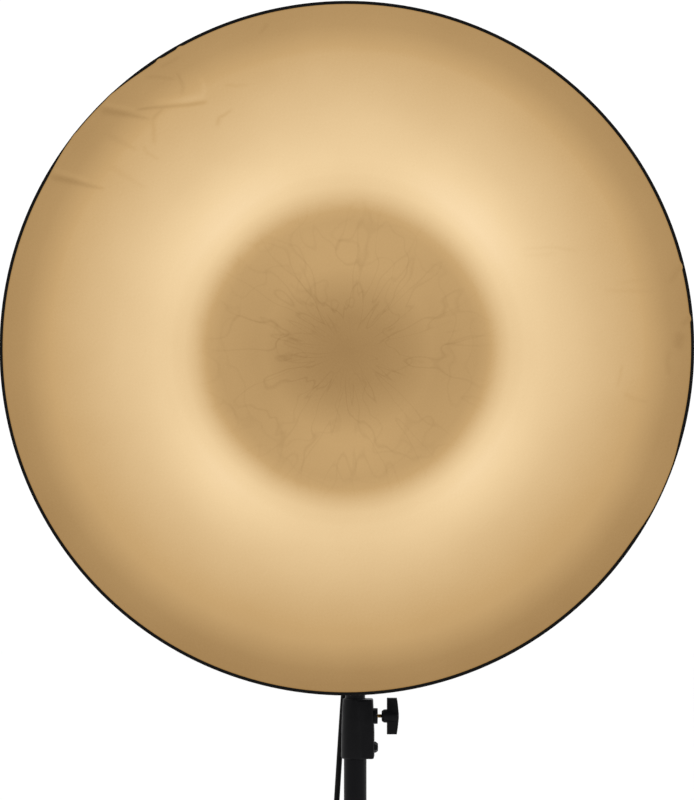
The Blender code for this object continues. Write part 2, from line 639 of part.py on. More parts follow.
def head_foot(tilting):
    top = OPTICAL_HEIGHT - PIVOT_HEIGHT - CASING_HEIGHT / 2 - FIT
    outline = arc((0, 0), 0.0150, 180, 360, 12) + [(0.0190, top - 0.004), (-0.0190, top - 0.004)]
    foot = plate("head_foot", [outline], 2 * TONGUE_HALF_WIDTH, BLACK_PAINT, tilting,
                 turn=(pi / 2, 0, pi / 2))
    flange = block("foot_flange", (0.050, 0.110, 0.007), (0, 0, top - 0.0035), None, tilting,
                   bevel=0.0015)
    hole = rod("foot_hole", TILT_BOLT_RADIUS + RUN, -0.03, 0.03, None, tilting, "X")
    combine(foot, "UNION", flange)
    combine(foot, "DIFFERENCE", hole)


def front_collar(optics):
    back, front = CASING_FRONT + FIT, MOUNT_FRONT
    ring = turned(
        "front_collar",
        [(MOUNT_OUTER - 0.002, front), (MOUNT_OUTER, front - 0.002), (MOUNT_OUTER, front - 0.010),
         (0.0600, back + 0.004), (0.0600, back), (0.0470, back), (0.0470, back + 0.006),
         (MOUNT_GROOVE, back + 0.006), (MOUNT_GROOVE, front - 0.008),
         (MOUNT_OPENING, front - 0.008), (MOUNT_OPENING, front)],
        BLACK_PAINT, optics, steps=30, ring=True,
    )
    for number in range(3):
        turn = BAYONET_TWIST + pi / 2 + number * 2 * pi / 3
        entry = block(
            f"bayonet_entry_{number}", (0.012, 0.028, 0.012),
            (0.0480 * cos(turn), 0.0480 * sin(turn), front - 0.0025), None, optics,
            turn=(0, 0, turn),
        )
        combine(ring, "DIFFERENCE", entry)
    slider = empty("release_slider_axis", (0, MOUNT_OUTER + RUN, front - 0.012), parent=optics)
    block("release_slider", (0.016, 0.007, 0.014), (0, 0.0035, 0), BLACK_PLASTIC, slider,
          bevel=0.0015)


def lamps(optics):
    back = CASING_FRONT + FIT + 0.0015
    base = turned(
        "lamp_base",
        [(0, back + 0.006), (0.0140 + RUN, back + 0.006), (0.0140 + RUN, back + 0.022),
         (0.0180, back + 0.022), (0.0180, back + 0.0065), (0.0460, back + 0.0065),
         (0.0460, back), (0, back)],
        CERAMIC, optics, steps=20,
    )
    ring_radius, tube, height, lean = 0.0330, 0.0038, back + 0.034, radians(14)
    path = [(ring_radius * cos(lean), ring_radius * sin(lean), back + 0.002)]
    path += [
        (ring_radius * cos(a), ring_radius * sin(a), height)
        for a in (lean + (2 * pi - 2 * lean) * i / 20 for i in range(21))
    ]
    path.append((ring_radius * cos(lean), -ring_radius * sin(lean), back + 0.002))
    for side in (-1, 1):
        hole = rod(f"tube_hole_{side}", tube + RUN, back - 0.002, back + 0.02, None, optics, "Z",
                   (ring_radius * cos(lean), side * ring_radius * sin(lean), 0), 16)
        combine(base, "DIFFERENCE", hole)
    wire("flash_tube", path, tube, GLASS, optics)
    seat = back + 0.0066
    globe = arc((0, seat + 0.052), 0.0210, 90, -48, 6)
    bulb = [(max(r, 0.0), z) for r, z in globe]
    bulb += [(0.0125, seat + 0.026), (0.0125, seat + 0.018), (0.0135, seat + 0.017),
             (0.0135, seat), (0, seat)]
    bulb[0] = (0.0, bulb[0][1])
    turned("modelling_lamp", bulb, GLASS, optics, steps=20)


def wire(name, points, radius, look, parent, resolution=2):
    """A round bar along a list of points, as a curve with closed ends."""
    curve = bpy.data.curves.new(name, "CURVE")
    curve.dimensions = "3D"
    curve.bevel_depth = radius
    curve.bevel_resolution = resolution
    curve.use_fill_caps = True
    spline = curve.splines.new("POLY")
    spline.points.add(len(points) - 1)
    for point, place_at in zip(spline.points, points):
        point.co = (*place_at, 1)
    return place(name, curve, look, parent)


def rear_panel(optics):
    """The rear panel and its controls; x and y count from the optical axis."""
    face = PANEL_FACE
    panel = plate(
        "rear_panel", [rounded_rectangle(CASING_WIDTH, CASING_HEIGHT, CASING_CORNER)],
        PANEL_THICKNESS, BLACK_PLASTIC, optics, (0, 0, face + PANEL_THICKNESS / 2),
    )
    out = face - FIT
    for name, x, y, size in DIALS:
        axis = empty(name + "_axis", (x, y, 0), parent=optics)
        turned(
            name,
            [(0, face + 0.008), (0.0030, face + 0.008), (0.0030, out), (size, out),
             (size, out - 0.010), (size - 0.0015, out - 0.012), (0, out - 0.012)],
            BLACK_PLASTIC, axis, steps=16,
        )
        combine(panel, "DIFFERENCE", rod(name + "_hole", 0.0030 + RUN, face - 0.01, face + 0.01,
                                         None, optics, "Z", (x, y, 0), 16))
    x, y = 0.0, 0.004
    button = empty("test_button_axis", (x, y, 0), parent=optics)
    turned(
        "test_button",
        [(0, face + 0.010), (0.0065, face + 0.010), (0.0065, face + PANEL_THICKNESS + 0.0005),
         (0.0050, face + PANEL_THICKNESS + 0.0005), (0.0050, face - 0.0040),
         (0.0042, face - 0.0050), (0, face - 0.0050)],
        BLACK_RUBBER, button, steps=14,
    )
    combine(panel, "DIFFERENCE", rod("button_hole", 0.0050 + RUN, face - 0.01, face + 0.01, None,
                                     optics, "Z", (x, y, 0), 20))
    x, y = 0.026, -0.034
    middle = (x, y, face + PANEL_THICKNESS / 2)
    rocker = empty("power_switch_axis", middle, (radians(-7), 0, 0), optics)
    outline = [(0.0090, -0.0068), (0.0, -0.0046), (-0.0090, -0.0068), (-0.0085, 0.0040),
               (0.0085, 0.0040)]
    plate("power_switch", [outline], 0.0130, BLACK_PLASTIC, rocker, turn=SIDEWAYS)
    hole = block("switch_hole", (0.0142, 0.0206, 0.02), (x, y, face), None, optics)
    combine(panel, "DIFFERENCE", hole)
    x, y = INLET_OFFSET
    inlet = block("mains_inlet", (0.0262, 0.0202, 0.024), (x, y, face + 0.010), BLACK_PLASTIC,
                  optics)
    flange = block("inlet_flange", (0.0320, 0.0260, 0.0020), (x, y, out - 0.0010), None, optics)
    recess = block("inlet_recess", (0.0238, 0.0168, 0.020), (x, y, out + 0.0060), None, optics)
    combine(inlet, "UNION", flange)
    combine(inlet, "DIFFERENCE", recess)
    hole = block("inlet_hole", (0.0268, 0.0208, 0.02), (x, y, face), None, optics)
    combine(panel, "DIFFERENCE", hole)
    plug = block("cord_connector", (0.0232, 0.0162, 0.0195), (x, y, out + 0.0058), BLACK_RUBBER,
                 optics)
    body = block("connector_body", (0.0280, 0.0210, 0.024), (x, y, out - 0.0020 - FIT - 0.012),
                 None, optics, bevel=0.0025)
    relief = rod("connector_relief", 0.0048, CONNECTOR_END, out - 0.024, None, optics, "Z",
                 (x, y, 0), 16, 0.0080)
    combine(plug, "UNION", body, relief)


def electronics(optics):
    inside = CASING_REAR + 0.020
    block("circuit_board", (0.092, 0.0016, 0.086), (0, 0.034, inside + 0.045), BOARD, optics)
    turned(
        "capacitor",
        [(0, 0.062), (0.0240, 0.062), (0.0250, 0.061), (0.0250, -0.011), (0.0240, -0.012),
         (0, -0.012)],
        SLEEVE, optics, steps=18, at=(0, -0.024, 0),
    )


# ---- reflector ----------------------------------------------------------------------------------
def bowl_depth(radius):
    """Distance in front of the column's axis of the dish's back surface."""
    share = max(0.0, (radius - DISH_FLOOR_RADIUS) / (BOWL_RADIUS - DISH_FLOOR_RADIUS))
    return DISH_BACK + (BOWL_FRONT - DISH_BACK) * share ** 1.5


def reflector(optics):
    back = MOUNT_FRONT + RUN
    neck = MOUNT_OPENING - RUN - 0.0003
    groove_floor = CASING_FRONT + FIT + 0.006
    ring = turned(
        "mount_ring",
        [(0.0740, DISH_BACK - FIT), (0.0740, back), (neck, back), (neck, groove_floor + RUN),
         (0.0470, groove_floor + RUN), (0.0470, DISH_BACK - FIT)],
        ALUMINIUM, optics, steps=30, ring=True,
    )
    for number in range(3):
        turn = pi / 2 + number * 2 * pi / 3
        lug = block(
            f"bayonet_lug_{number}", (0.0050, 0.018, 0.0050),
            (0.0492 * cos(turn), 0.0492 * sin(turn), groove_floor + RUN + 0.0028), None, optics,
            turn=(0, 0, turn),
        )
        combine(ring, "UNION", lug)
    lip = 0.0060
    profile = [(RIM_RADIUS - lip, DISH_FRONT), (RIM_RADIUS - 0.001, DISH_FRONT),
               (RIM_RADIUS, DISH_FRONT - 0.001), (RIM_RADIUS, DISH_FRONT - 0.008),
               (RIM_RADIUS - 0.004, DISH_FRONT - 0.012)]
    steps = 5
    for i in range(steps + 1):
        r = BOWL_RADIUS + (DISH_FLOOR_RADIUS - BOWL_RADIUS) * i / steps
        profile.append((r, bowl_depth(r)))
    profile.append((0.0475, DISH_BACK))
    dish = turned("dish_shell", profile, WHITE_PAINT, optics, steps=DISH_STEPS)
    sheet = dish.modifiers.new("sheet", "SOLIDIFY")
    sheet.thickness = DISH_SHEET
    sheet.offset = -1
    sheet.use_even_offset = True
    flat = 0.085
    disc = turned(
        "deflector",
        [(DEFLECTOR_RADIUS - 0.004, DEFLECTOR_BACK + 0.016),
         (DEFLECTOR_RADIUS, DEFLECTOR_BACK + 0.015),
         (DEFLECTOR_RADIUS, DEFLECTOR_BACK + 0.010), (0.118, DEFLECTOR_BACK + 0.0035),
         (flat, DEFLECTOR_BACK), (0, DEFLECTOR_BACK)],
        WHITE_PAINT, optics, steps=30,
    )
    sheet = disc.modifiers.new("sheet", "SOLIDIFY")
    sheet.thickness = DEFLECTOR_SHEET
    sheet.offset = -1
    sheet.use_even_offset = True
    for number in range(4):
        turn = number * pi / 2
        rod(
            f"post_{number + 1}", POST_RADIUS, DISH_BACK + DISH_SHEET + FIT, DEFLECTOR_BACK - FIT,
            ALUMINIUM, optics, "Z", (POST_CIRCLE * cos(turn), POST_CIRCLE * sin(turn), 0), 16,
        )
    fabric_back = DISH_FRONT + FIT
    fabric_front = fabric_back + FABRIC_THICKNESS
    inner = DISH_RADIUS - ELASTIC_WIDTH
    turned(
        "diffuser",
        [(0, fabric_front), (inner - FIT, fabric_front), (inner - FIT, fabric_back),
         (0, fabric_back)],
        FABRIC, optics, steps=DISH_STEPS,
    )
    turned(
        "rim_elastic",
        [(inner, fabric_front), (inner + 0.0008, fabric_front + 0.0008),
         (DISH_RADIUS - 0.0010, fabric_front + 0.0008), (DISH_RADIUS, fabric_front - 0.0004),
         (DISH_RADIUS, fabric_back - 0.0125), (inner, fabric_back - 0.0125)],
        ELASTIC, optics, steps=DISH_STEPS, ring=True,
    )


# ---- mains lead ---------------------------------------------------------------------------------
def smooth(points, spacing):
    """Evenly spaced points on a smooth curve through a route."""
    ends = [2 * points[0] - points[1], *points, 2 * points[-1] - points[-2]]
    fine = []
    for before, start, end, after in zip(ends, ends[1:], ends[2:], ends[3:]):
        for i in range(24):
            t = i / 24
            fine.append(0.5 * (
                2 * start + (end - before) * t + (2 * before - 5 * start + 4 * end - after) * t * t
                + (3 * start - before - 3 * end + after) * t ** 3
            ))
    fine.append(points[-1])
    travelled = [0.0]
    for a, b in zip(fine, fine[1:]):
        travelled.append(travelled[-1] + (b - a).length)
    count = max(2, round(travelled[-1] / spacing))
    even, at = [], 0
    for i in range(count + 1):
        want = travelled[-1] * i / count
        while at < len(fine) - 2 and travelled[at + 1] < want:
            at += 1
        span = travelled[at + 1] - travelled[at]
        even.append(fine[at].lerp(fine[at + 1], (want - travelled[at]) / span if span else 0))
    return even


HEAD_ROUTE = [
    (-0.0260, 0.1935, 1.0660), (-0.0260, 0.2100, 1.0655), (-0.0255, 0.2290, 1.0590),
    (-0.0245, 0.2400, 1.0430), (-0.0230, 0.2420, 1.0230), (-0.0205, 0.2340, 1.0030),
    (-0.0170, 0.2160, 0.9860), (-0.0130, 0.1890, 0.9740), (-0.0090, 0.1560, 0.9680),
    (-0.0055, 0.1220, 0.9680), (-0.0030, 0.0900, 0.9725), (-0.0012, 0.0620, 0.9765),
    (-0.0003, 0.0430, 0.9740), (0.0000, 0.0322, 0.9655), (0.0000, 0.0284, 0.9540),
    (0.0000, 0.0279, 0.9440), (0.0000, 0.0279, 0.9360),
]
LINK_ROUTE = [
    (0.0000, 0.0278, 0.9353), (0.0000, 0.0272, 0.9270), (0.0000, 0.0240, 0.9170),
    (0.0000, 0.0206, 0.9085), (0.0000, 0.0200, 0.9030), (0.0000, 0.0200, 0.8896),
]
DROP_ROUTE = [
    (0.0000, 0.0200, 0.8890), (0.0000, 0.0200, 0.8780), (-0.0020, 0.0204, 0.8500),
    (-0.0060, 0.0215, 0.8050), (-0.0102, 0.0226, 0.7640), (-0.0139, 0.0235, 0.7240),
    (-0.0177, 0.0245, 0.6680), (-0.0213, 0.0255, 0.6120), (-0.0262, 0.0268, 0.5400),
    (-0.0320, 0.0285, 0.4600), (-0.0388, 0.0306, 0.3700), (-0.0452, 0.0330, 0.2800),
    (-0.0512, 0.0358, 0.1900), (-0.0562, 0.0392, 0.1120), (-0.0606, 0.0436, 0.0560),
    (-0.0668, 0.0482, 0.0240), (-0.0760, 0.0535, 0.0080), (-0.0880, 0.0600, 0.0040),
    (-0.1007, 0.0680, 0.0035), (-0.1095, 0.0760, 0.0035), (-0.1185, 0.0865, 0.0035),
]
TAIL_ROUTE = [
    (-0.2078, 0.0700, 0.0230), (-0.2086, 0.0650, 0.0226), (-0.2094, 0.0590, 0.0208),
    (-0.2092, 0.0520, 0.0188), (-0.2084, 0.0460, 0.0173), (-0.2080, 0.0400, 0.0173),
]


def mains_lead(stand):
    routes = {"cord_head": HEAD_ROUTE, "cord_link": LINK_ROUTE, "cord_drop": DROP_ROUTE}
    for name, route in routes.items():
        points = smooth([Vector(p) for p in route], CORD_SPACING)
        wire(name, points, CORD_RADIUS, BLACK_RUBBER, stand)
    inner, outer = COIL_MIDDLE_RADIUS - CORD_COIL_HALF, COIL_MIDDLE_RADIUS + CORD_COIL_HALF
    low = FIT
    high = low + 2 * COIL_LAYERS * CORD_RADIUS
    turned(
        "cord_coil", [(outer, high), (outer, low), (inner, low), (inner, high)], BLACK_RUBBER,
        stand, steps=32, ring=True, at=(*COIL_CENTRE, 0),
    )
    wire("cord_tail", [Vector(p) for p in TAIL_ROUTE], CORD_RADIUS, BLACK_RUBBER, stand)
    end, before = Vector(TAIL_ROUTE[-1]), Vector(TAIL_ROUTE[-2])
    heading = (end - before).normalized()
    turn = heading.to_track_quat("Z", "Y").to_euler()
    turned(
        "cord_plug",
        [(0, 0.076), (0.0165, 0.076), (0.0170, 0.070), (0.0170, 0.048), (0.0120, 0.034),
         (0.0085, 0.028), (0.0048, FIT), (0, FIT)],
        BLACK_RUBBER, stand, steps=18, at=end, turn=turn,
    )
    clip = block("yoke_clip", (0.0120, 0.0150, 0.0100), (0, SOCKET_RADIUS + FIT + 0.0075, 0.9450),
                 BLACK_PLASTIC, stand, bevel=0.0010)
    hole = rod("yoke_clip_hole", CORD_RADIUS + RUN, 0.93, 0.96, None, stand, "Z",
               (0, 0.0279, 0), 16)
    combine(clip, "DIFFERENCE", hole)
    band = turned(
        "riser_clip",
        [(RISER_RADIUS + 0.0022, 0.8840), (RISER_RADIUS + 0.0022, 0.8780),
         (RISER_RADIUS + FIT, 0.8780), (RISER_RADIUS + FIT, 0.8840)],
        BLACK_PLASTIC, stand, steps=20, ring=True,
    )
    hook = rod("riser_clip_hook", CORD_RADIUS + 0.0018 + RUN, 0.8782, 0.8838, None, stand, "Z",
               (0, 0.0200, 0), 12)
    hole = rod("riser_clip_hole", CORD_RADIUS + RUN, 0.87, 0.89, None, stand, "Z",
               (0, 0.0200, 0), 12)
    core = rod("riser_clip_core", RISER_RADIUS + FIT, 0.87, 0.89, None, stand, "Z", steps=20)
    neck = block("riser_clip_neck", (0.0090, 0.0080, 0.0054), (0, 0.0160, 0.8810), None, stand)
    combine(band, "UNION", hook, neck)
    combine(band, "DIFFERENCE", hole, core)


# ---- assembly -----------------------------------------------------------------------------------
def footprint(lead):
    """Lowest and highest corners of everything but the mains lead."""
    bpy.context.view_layer.update()
    graph = bpy.context.evaluated_depsgraph_get()
    corners = []
    for piece in PARTS.objects:
        if piece.name in lead:
            continue
        seen = piece.evaluated_get(graph)
        mesh = seen.to_mesh()
        corners += [seen.matrix_world @ v.co for v in mesh.vertices]
        seen.to_mesh_clear()
    low = Vector(min(c[i] for c in corners) for i in range(3))
    high = Vector(max(c[i] for c in corners) for i in range(3))
    return low, high


def assemble():
    root = empty("beauty_dish_stand")
    spider(root)
    column(root)
    collar_slide = empty("leg_collar_slide", (0, 0, LEG_PIVOT_HEIGHT), parent=root)
    leg_collar(collar_slide)
    for number in (1, 2, 3):
        leg(number, collar_slide, root)
        brace(number, root)
    clamp_collar(root)
    riser(root)
    yoke(root)
    tilting = empty("tilt_axis", (0, 0, PIVOT_HEIGHT), parent=root)
    head_foot(tilting)
    optics = empty("optical_axis", (0, 0, OPTICAL_HEIGHT), (pi / 2, 0, 0), root)
    head_casing(optics)
    front_collar(optics)
    lamps(optics)
    rear_panel(optics)
    electronics(optics)
    reflector(optics)
    mains_lead(root)
    lead = {"cord_connector", "cord_head", "cord_link", "cord_drop", "cord_coil", "cord_tail",
            "cord_plug"}
    low, high = footprint(lead)
    root.location = (-(low.x + high.x) / 2, -(low.y + high.y) / 2, -low.z)
    bpy.context.view_layer.update()


assemble()
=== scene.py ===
"""The looks of the lit beauty dish on its stand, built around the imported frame."""

import json
from math import asin, cos, exp, pi, radians, sin, sqrt

import bmesh
import bpy
from mathutils import Matrix, Vector


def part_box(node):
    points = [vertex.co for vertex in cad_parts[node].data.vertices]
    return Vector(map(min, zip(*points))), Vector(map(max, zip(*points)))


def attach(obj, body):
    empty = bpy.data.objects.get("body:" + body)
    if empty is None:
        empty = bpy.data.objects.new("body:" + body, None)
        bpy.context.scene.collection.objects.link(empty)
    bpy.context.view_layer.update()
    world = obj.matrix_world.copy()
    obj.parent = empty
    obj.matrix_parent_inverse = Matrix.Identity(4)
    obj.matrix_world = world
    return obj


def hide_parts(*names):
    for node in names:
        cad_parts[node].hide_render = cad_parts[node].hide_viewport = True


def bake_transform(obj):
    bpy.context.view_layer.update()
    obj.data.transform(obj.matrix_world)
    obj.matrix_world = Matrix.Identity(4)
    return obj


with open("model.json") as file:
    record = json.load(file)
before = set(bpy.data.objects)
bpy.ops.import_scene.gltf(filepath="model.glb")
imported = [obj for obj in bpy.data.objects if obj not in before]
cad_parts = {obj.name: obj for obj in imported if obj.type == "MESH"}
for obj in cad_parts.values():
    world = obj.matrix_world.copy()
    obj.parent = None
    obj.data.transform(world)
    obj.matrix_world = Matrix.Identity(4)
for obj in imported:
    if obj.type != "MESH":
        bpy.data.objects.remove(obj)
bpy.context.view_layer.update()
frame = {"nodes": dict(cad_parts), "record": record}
NODES = frame["nodes"]

# ---- places, all from the frame -----------------------------------------------------------------
low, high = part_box("column_tube")
AXIS = Vector(((low.x + high.x) / 2, (low.y + high.y) / 2, 0.0))
COLUMN_RADIUS = (high.x - low.x) / 2
low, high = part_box("riser_tube")
RISER_RADIUS = (high.x - low.x) / 2
rim_low, rim_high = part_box("rim_elastic")
CENTRE = Vector((AXIS.x, 0.0, (rim_low.z + rim_high.z) / 2))
DISH_RADIUS = (rim_high.z - rim_low.z) / 2
FABRIC_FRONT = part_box("diffuser")[0].y
dish_low, dish_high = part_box("dish_shell")

# From the optical frame, whose z is the distance in front of the column, to the row frame
OPTICS = Matrix.Translation((AXIS.x, AXIS.y, CENTRE.z)) @ Matrix.Rotation(pi / 2, 4, "X")
STAND = Matrix.Translation(AXIS)

SEGMENTS = 192  # round a whole dish


# ---- node helpers -------------------------------------------------------------------------------
class Nodes:
    """A small writer of shader trees."""

    def __init__(self, name):
        self.material = bpy.data.materials.new(name)
        self.material.use_nodes = True
        self.tree = self.material.node_tree
        self.shader = self.tree.nodes["Principled BSDF"]
        self.place = self.tree.nodes.new("ShaderNodeTexCoord").outputs["Object"]

    def plug(self, value, socket):
        if isinstance(value, bpy.types.NodeSocket):
            self.tree.links.new(value, socket)
        elif value is not None:
            socket.default_value = value

    def math(self, operation, a, b=None, c=None, clamp=False):
        node = self.tree.nodes.new("ShaderNodeMath")
        node.operation = operation
        node.use_clamp = clamp
        for value, socket in zip((a, b, c), node.inputs):
            self.plug(value, socket)
        return node.outputs[0]

    def vector(self, operation, a, b=None, output=0):
        node = self.tree.nodes.new("ShaderNodeVectorMath")
        node.operation = operation
        self.plug(a, node.inputs[0])
        self.plug(b, node.inputs[1])
        return node.outputs[output]

    def split(self, vector):
        node = self.tree.nodes.new("ShaderNodeSeparateXYZ")
        self.plug(vector, node.inputs[0])
        return node.outputs

    def join(self, x, y, z):
        node = self.tree.nodes.new("ShaderNodeCombineXYZ")
        for value, socket in zip((x, y, z), node.inputs):
            self.plug(value, socket)
        return node.outputs[0]

    def noise(self, scale, detail=3.0, roughness=0.5, vector=None, distortion=0.0):
        node = self.tree.nodes.new("ShaderNodeTexNoise")
        self.plug(vector or self.place, node.inputs["Vector"])
        node.inputs["Scale"].default_value = scale
        node.inputs["Detail"].default_value = detail
        node.inputs["Roughness"].default_value = roughness
        node.inputs["Distortion"].default_value = distortion
        return node.outputs["Fac"]

    def ramp(self, value, stops, interpolation="LINEAR"):
        node = self.tree.nodes.new("ShaderNodeValToRGB")
        self.plug(value, node.inputs[0])
        ramp = node.color_ramp
        ramp.interpolation = interpolation
        while len(ramp.elements) < len(stops):
            ramp.elements.new(1.0)
        for element, (at, colour) in zip(ramp.elements, stops):
            element.position = at
            element.color = (*colour, 1.0) if len(colour) == 3 else colour
        return node.outputs[0]

    def between(self, value, low, high, start=0.0, end=1.0):
        node = self.tree.nodes.new("ShaderNodeMapRange")
        for number, setting in enumerate((value, low, high, start, end)):
            self.plug(setting, node.inputs[number])
        return node.outputs[0]

    def mix(self, share, a, b):
        node = self.tree.nodes.new("ShaderNodeMix")
        node.data_type = "RGBA"
        for value, socket in zip((share, a, b), (node.inputs[0], node.inputs[6], node.inputs[7])):
            if isinstance(value, tuple) and len(value) == 3:
                value = (*value, 1.0)
            self.plug(value, socket)
        return node.outputs[2]

    def attribute(self, name):
        node = self.tree.nodes.new("ShaderNodeAttribute")
        node.attribute_name = name
        return node.outputs["Fac"]

    def bump(self, height, strength, distance):
        node = self.tree.nodes.new("ShaderNodeBump")
        node.inputs["Strength"].default_value = strength
        node.inputs["Distance"].default_value = distance
        self.plug(height, node.inputs["Height"])
        self.tree.links.new(node.outputs[0], self.shader.inputs["Normal"])

    def set(self, **values):
        for name, value in values.items():
            if isinstance(value, tuple) and len(value) == 3:
                value = (*value, 1.0)
            self.plug(value, self.shader.inputs[name.replace("_", " ")])
        return self


def speckled(name, colour, other, roughness, grain, bump, metallic=0.0, rough_spread=0.08, **more):
    """A finish whose colour, gloss and surface vary at the scale of its grain."""
    n = Nodes(name)
    fine = n.noise(grain, 4.0, 0.6)
    broad = n.noise(grain / 18.0, 3.0, 0.55)
    shade = n.math("ADD", n.math("MULTIPLY", fine, 0.45), n.math("MULTIPLY", broad, 0.55))
    n.set(Base_Color=n.mix(n.between(shade, 0.36, 0.64), colour, other), Metallic=metallic)
    n.set(Roughness=n.between(broad, 0.3, 0.7, roughness - rough_spread, roughness + rough_spread))
    n.bump(fine, bump, 0.0004)
    n.set(**more)
    if metallic == 0.0 and max(other) < 0.05:
        dull(n)
    return n.material


def dull(n, level=0.07):
    """A weak reflection, as on matt black in a room with light from every side."""
    n.shader.inputs["Specular IOR Level"].default_value = level


def painted_tube():
    """Satin black paint with fine rings where the sections have slid in each other."""
    n = Nodes("satin_black_paint")
    fine = n.noise(900.0, 3.0, 0.6)
    x, y, z = n.split(n.place)
    rings = n.noise(260.0, 2.0, 0.5, n.join(0.0, 0.0, z))
    stretched = n.join(n.math("MULTIPLY", x, 420.0), n.math("MULTIPLY", y, 420.0),
                       n.math("MULTIPLY", z, 9.0))
    streaks = n.noise(1.0, 3.0, 0.6, stretched)
    worn = n.between(streaks, 0.60, 0.78)
    n.set(Base_Color=n.mix(worn, (0.0030, 0.0030, 0.0038), (0.0075, 0.0075, 0.0085)))
    n.set(Roughness=n.between(n.math("ADD", rings, streaks), 0.7, 1.3, 0.30, 0.46))
    n.bump(n.math("ADD", fine, n.math("MULTIPLY", rings, 0.6)), 0.10, 0.0003)
    dull(n)
    return n.material


def moulded():
    return speckled("moulded_black_plastic", (0.0030, 0.0030, 0.0036), (0.0055, 0.0055, 0.0062),
                    0.44, 1500.0, 0.22)


def rubber():
    return speckled("black_rubber_grain", (0.0035, 0.0035, 0.0035), (0.0080, 0.0078, 0.0075), 0.74,
                    1100.0, 0.25)


def cable_jacket():
    n = Nodes("cable_jacket")
    fine = n.noise(1400.0, 3.0, 0.6)
    dust = n.noise(120.0, 4.0, 0.6)
    dusty = n.between(dust, 0.52, 0.75)
    n.set(Base_Color=n.mix(dusty, (0.0030, 0.0030, 0.0034), (0.0090, 0.0088, 0.0085)))
    n.set(Roughness=n.between(dust, 0.3, 0.7, 0.48, 0.64))
    n.bump(fine, 0.12, 0.0002)
    dull(n)
    return n.material


def metal(name, colour, other, roughness, direction=(1.0, 1.0, 40.0)):
    """Machined metal with fine lines across one direction."""
    n = Nodes(name)
    lines = n.noise(90.0, 4.0, 0.65, n.vector("MULTIPLY", n.place, direction))
    stain = n.noise(60.0, 3.0, 0.6)
    n.set(Base_Color=n.mix(n.between(stain, 0.35, 0.7), colour, other), Metallic=1.0)
    n.set(Roughness=n.between(lines, 0.3, 0.7, roughness - 0.09, roughness + 0.10))
    n.bump(lines, 0.10, 0.0002)
    return n.material


def dish_white():
    n = Nodes("dish_white_paint")
    peel = n.noise(420.0, 2.0, 0.5)
    broad = n.noise(14.0, 3.0, 0.5)
    n.set(Base_Color=n.mix(broad, (0.80, 0.79, 0.76), (0.74, 0.72, 0.67)))
    n.set(Roughness=n.between(broad, 0.3, 0.7, 0.42, 0.55))
    n.bump(peel, 0.12, 0.0006)
    return n.material


def dish_black():
    """Textured black paint on the spun sheet, with faint rings from the spinning."""
    n = Nodes("dish_black_paint")
    x, y, z = n.split(n.vector("SUBTRACT", n.place, tuple(CENTRE)))
    away = n.math("SQRT", n.math("ADD", n.math("POWER", x, 2.0), n.math("POWER", z, 2.0)))
    rings = n.noise(1.0, 2.0, 0.5, n.join(n.math("MULTIPLY", away, 240.0), 0.0, 0.0))
    peel = n.noise(700.0, 3.0, 0.6)
    scuffs = n.noise(38.0, 5.0, 0.7, None, 0.6)
    worn = n.between(scuffs, 0.62, 0.80)
    n.set(Base_Color=n.mix(worn, (0.0040, 0.0040, 0.0046), (0.0120, 0.0118, 0.0115)))
    n.set(Roughness=n.between(n.math("ADD", rings, scuffs), 0.7, 1.3, 0.36, 0.52))
    n.bump(n.math("ADD", peel, n.math("MULTIPLY", rings, 0.35)), 0.20, 0.0005)
    dull(n, 0.22)
    return n.material


def elastic():
    """Knitted black elastic, its ribs running across the band."""
    n = Nodes("knitted_elastic")
    x, y, z = n.split(n.vector("SUBTRACT", n.place, tuple(CENTRE)))
    around = n.math("ARCTAN2", z, x)
    ribs = n.math("SINE", n.math("MULTIPLY", around, 1500.0))
    rows = n.math("SINE", n.math("MULTIPLY", y, 5200.0))
    fluff = n.noise(1600.0, 3.0, 0.7)
    n.set(Base_Color=n.mix(fluff, (0.0030, 0.0028, 0.0028), (0.0070, 0.0068, 0.0068)))
    n.set(Roughness=0.88)
    dull(n, 0.05)
    n.bump(n.math("ADD", n.math("ADD", ribs, rows), fluff), 0.45, 0.0005)
    return n.material


def lamp_glass(name, glow, strength):
    n = Nodes(name)
    frost = n.noise(500.0, 2.0, 0.5)
    n.set(Base_Color=(0.95, 0.93, 0.88), Roughness=n.between(frost, 0.3, 0.7, 0.06, 0.18))
    n.shader.inputs["Transmission Weight"].default_value = 0.55
    n.shader.inputs["Emission Color"].default_value = (*glow, 1.0)
    n.shader.inputs["Emission Strength"].default_value = strength
    return n.material


def circuit():
    n = Nodes("circuit_board_green")
    lines = n.noise(240.0, 1.0, 0.3)
    track = n.between(lines, 0.50, 0.54)
    n.set(Base_Color=n.mix(track, (0.012, 0.120, 0.050), (0.040, 0.240, 0.110)))
    n.set(Roughness=n.between(lines, 0.4, 0.6, 0.30, 0.45))
    n.bump(lines, 0.2, 0.0003)
    return n.material


# ---- mesh helpers -------------------------------------------------------------------------------
def piece(name, points, faces, materials, place=None, smooth=True, slots=None):
    """An object from points and faces. slots gives each face's material when there are several."""
    mesh = bpy.data.meshes.new(name)
    mesh.from_pydata([tuple(p) for p in points], [], faces)
    for one in materials if isinstance(materials, (list, tuple)) else [materials]:
        mesh.materials.append(one)
    if slots:
        mesh.polygons.foreach_set("material_index", slots)
    if place is not None:
        mesh.transform(place)
    tidy = bmesh.new()
    tidy.from_mesh(mesh)
    bmesh.ops.recalc_face_normals(tidy, faces=tidy.faces)
    tidy.to_mesh(mesh)
    tidy.free()
    if smooth:
        mesh.shade_smooth()
    made = bpy.data.objects.new(name, mesh)
    bpy.context.scene.collection.objects.link(made)
    return made


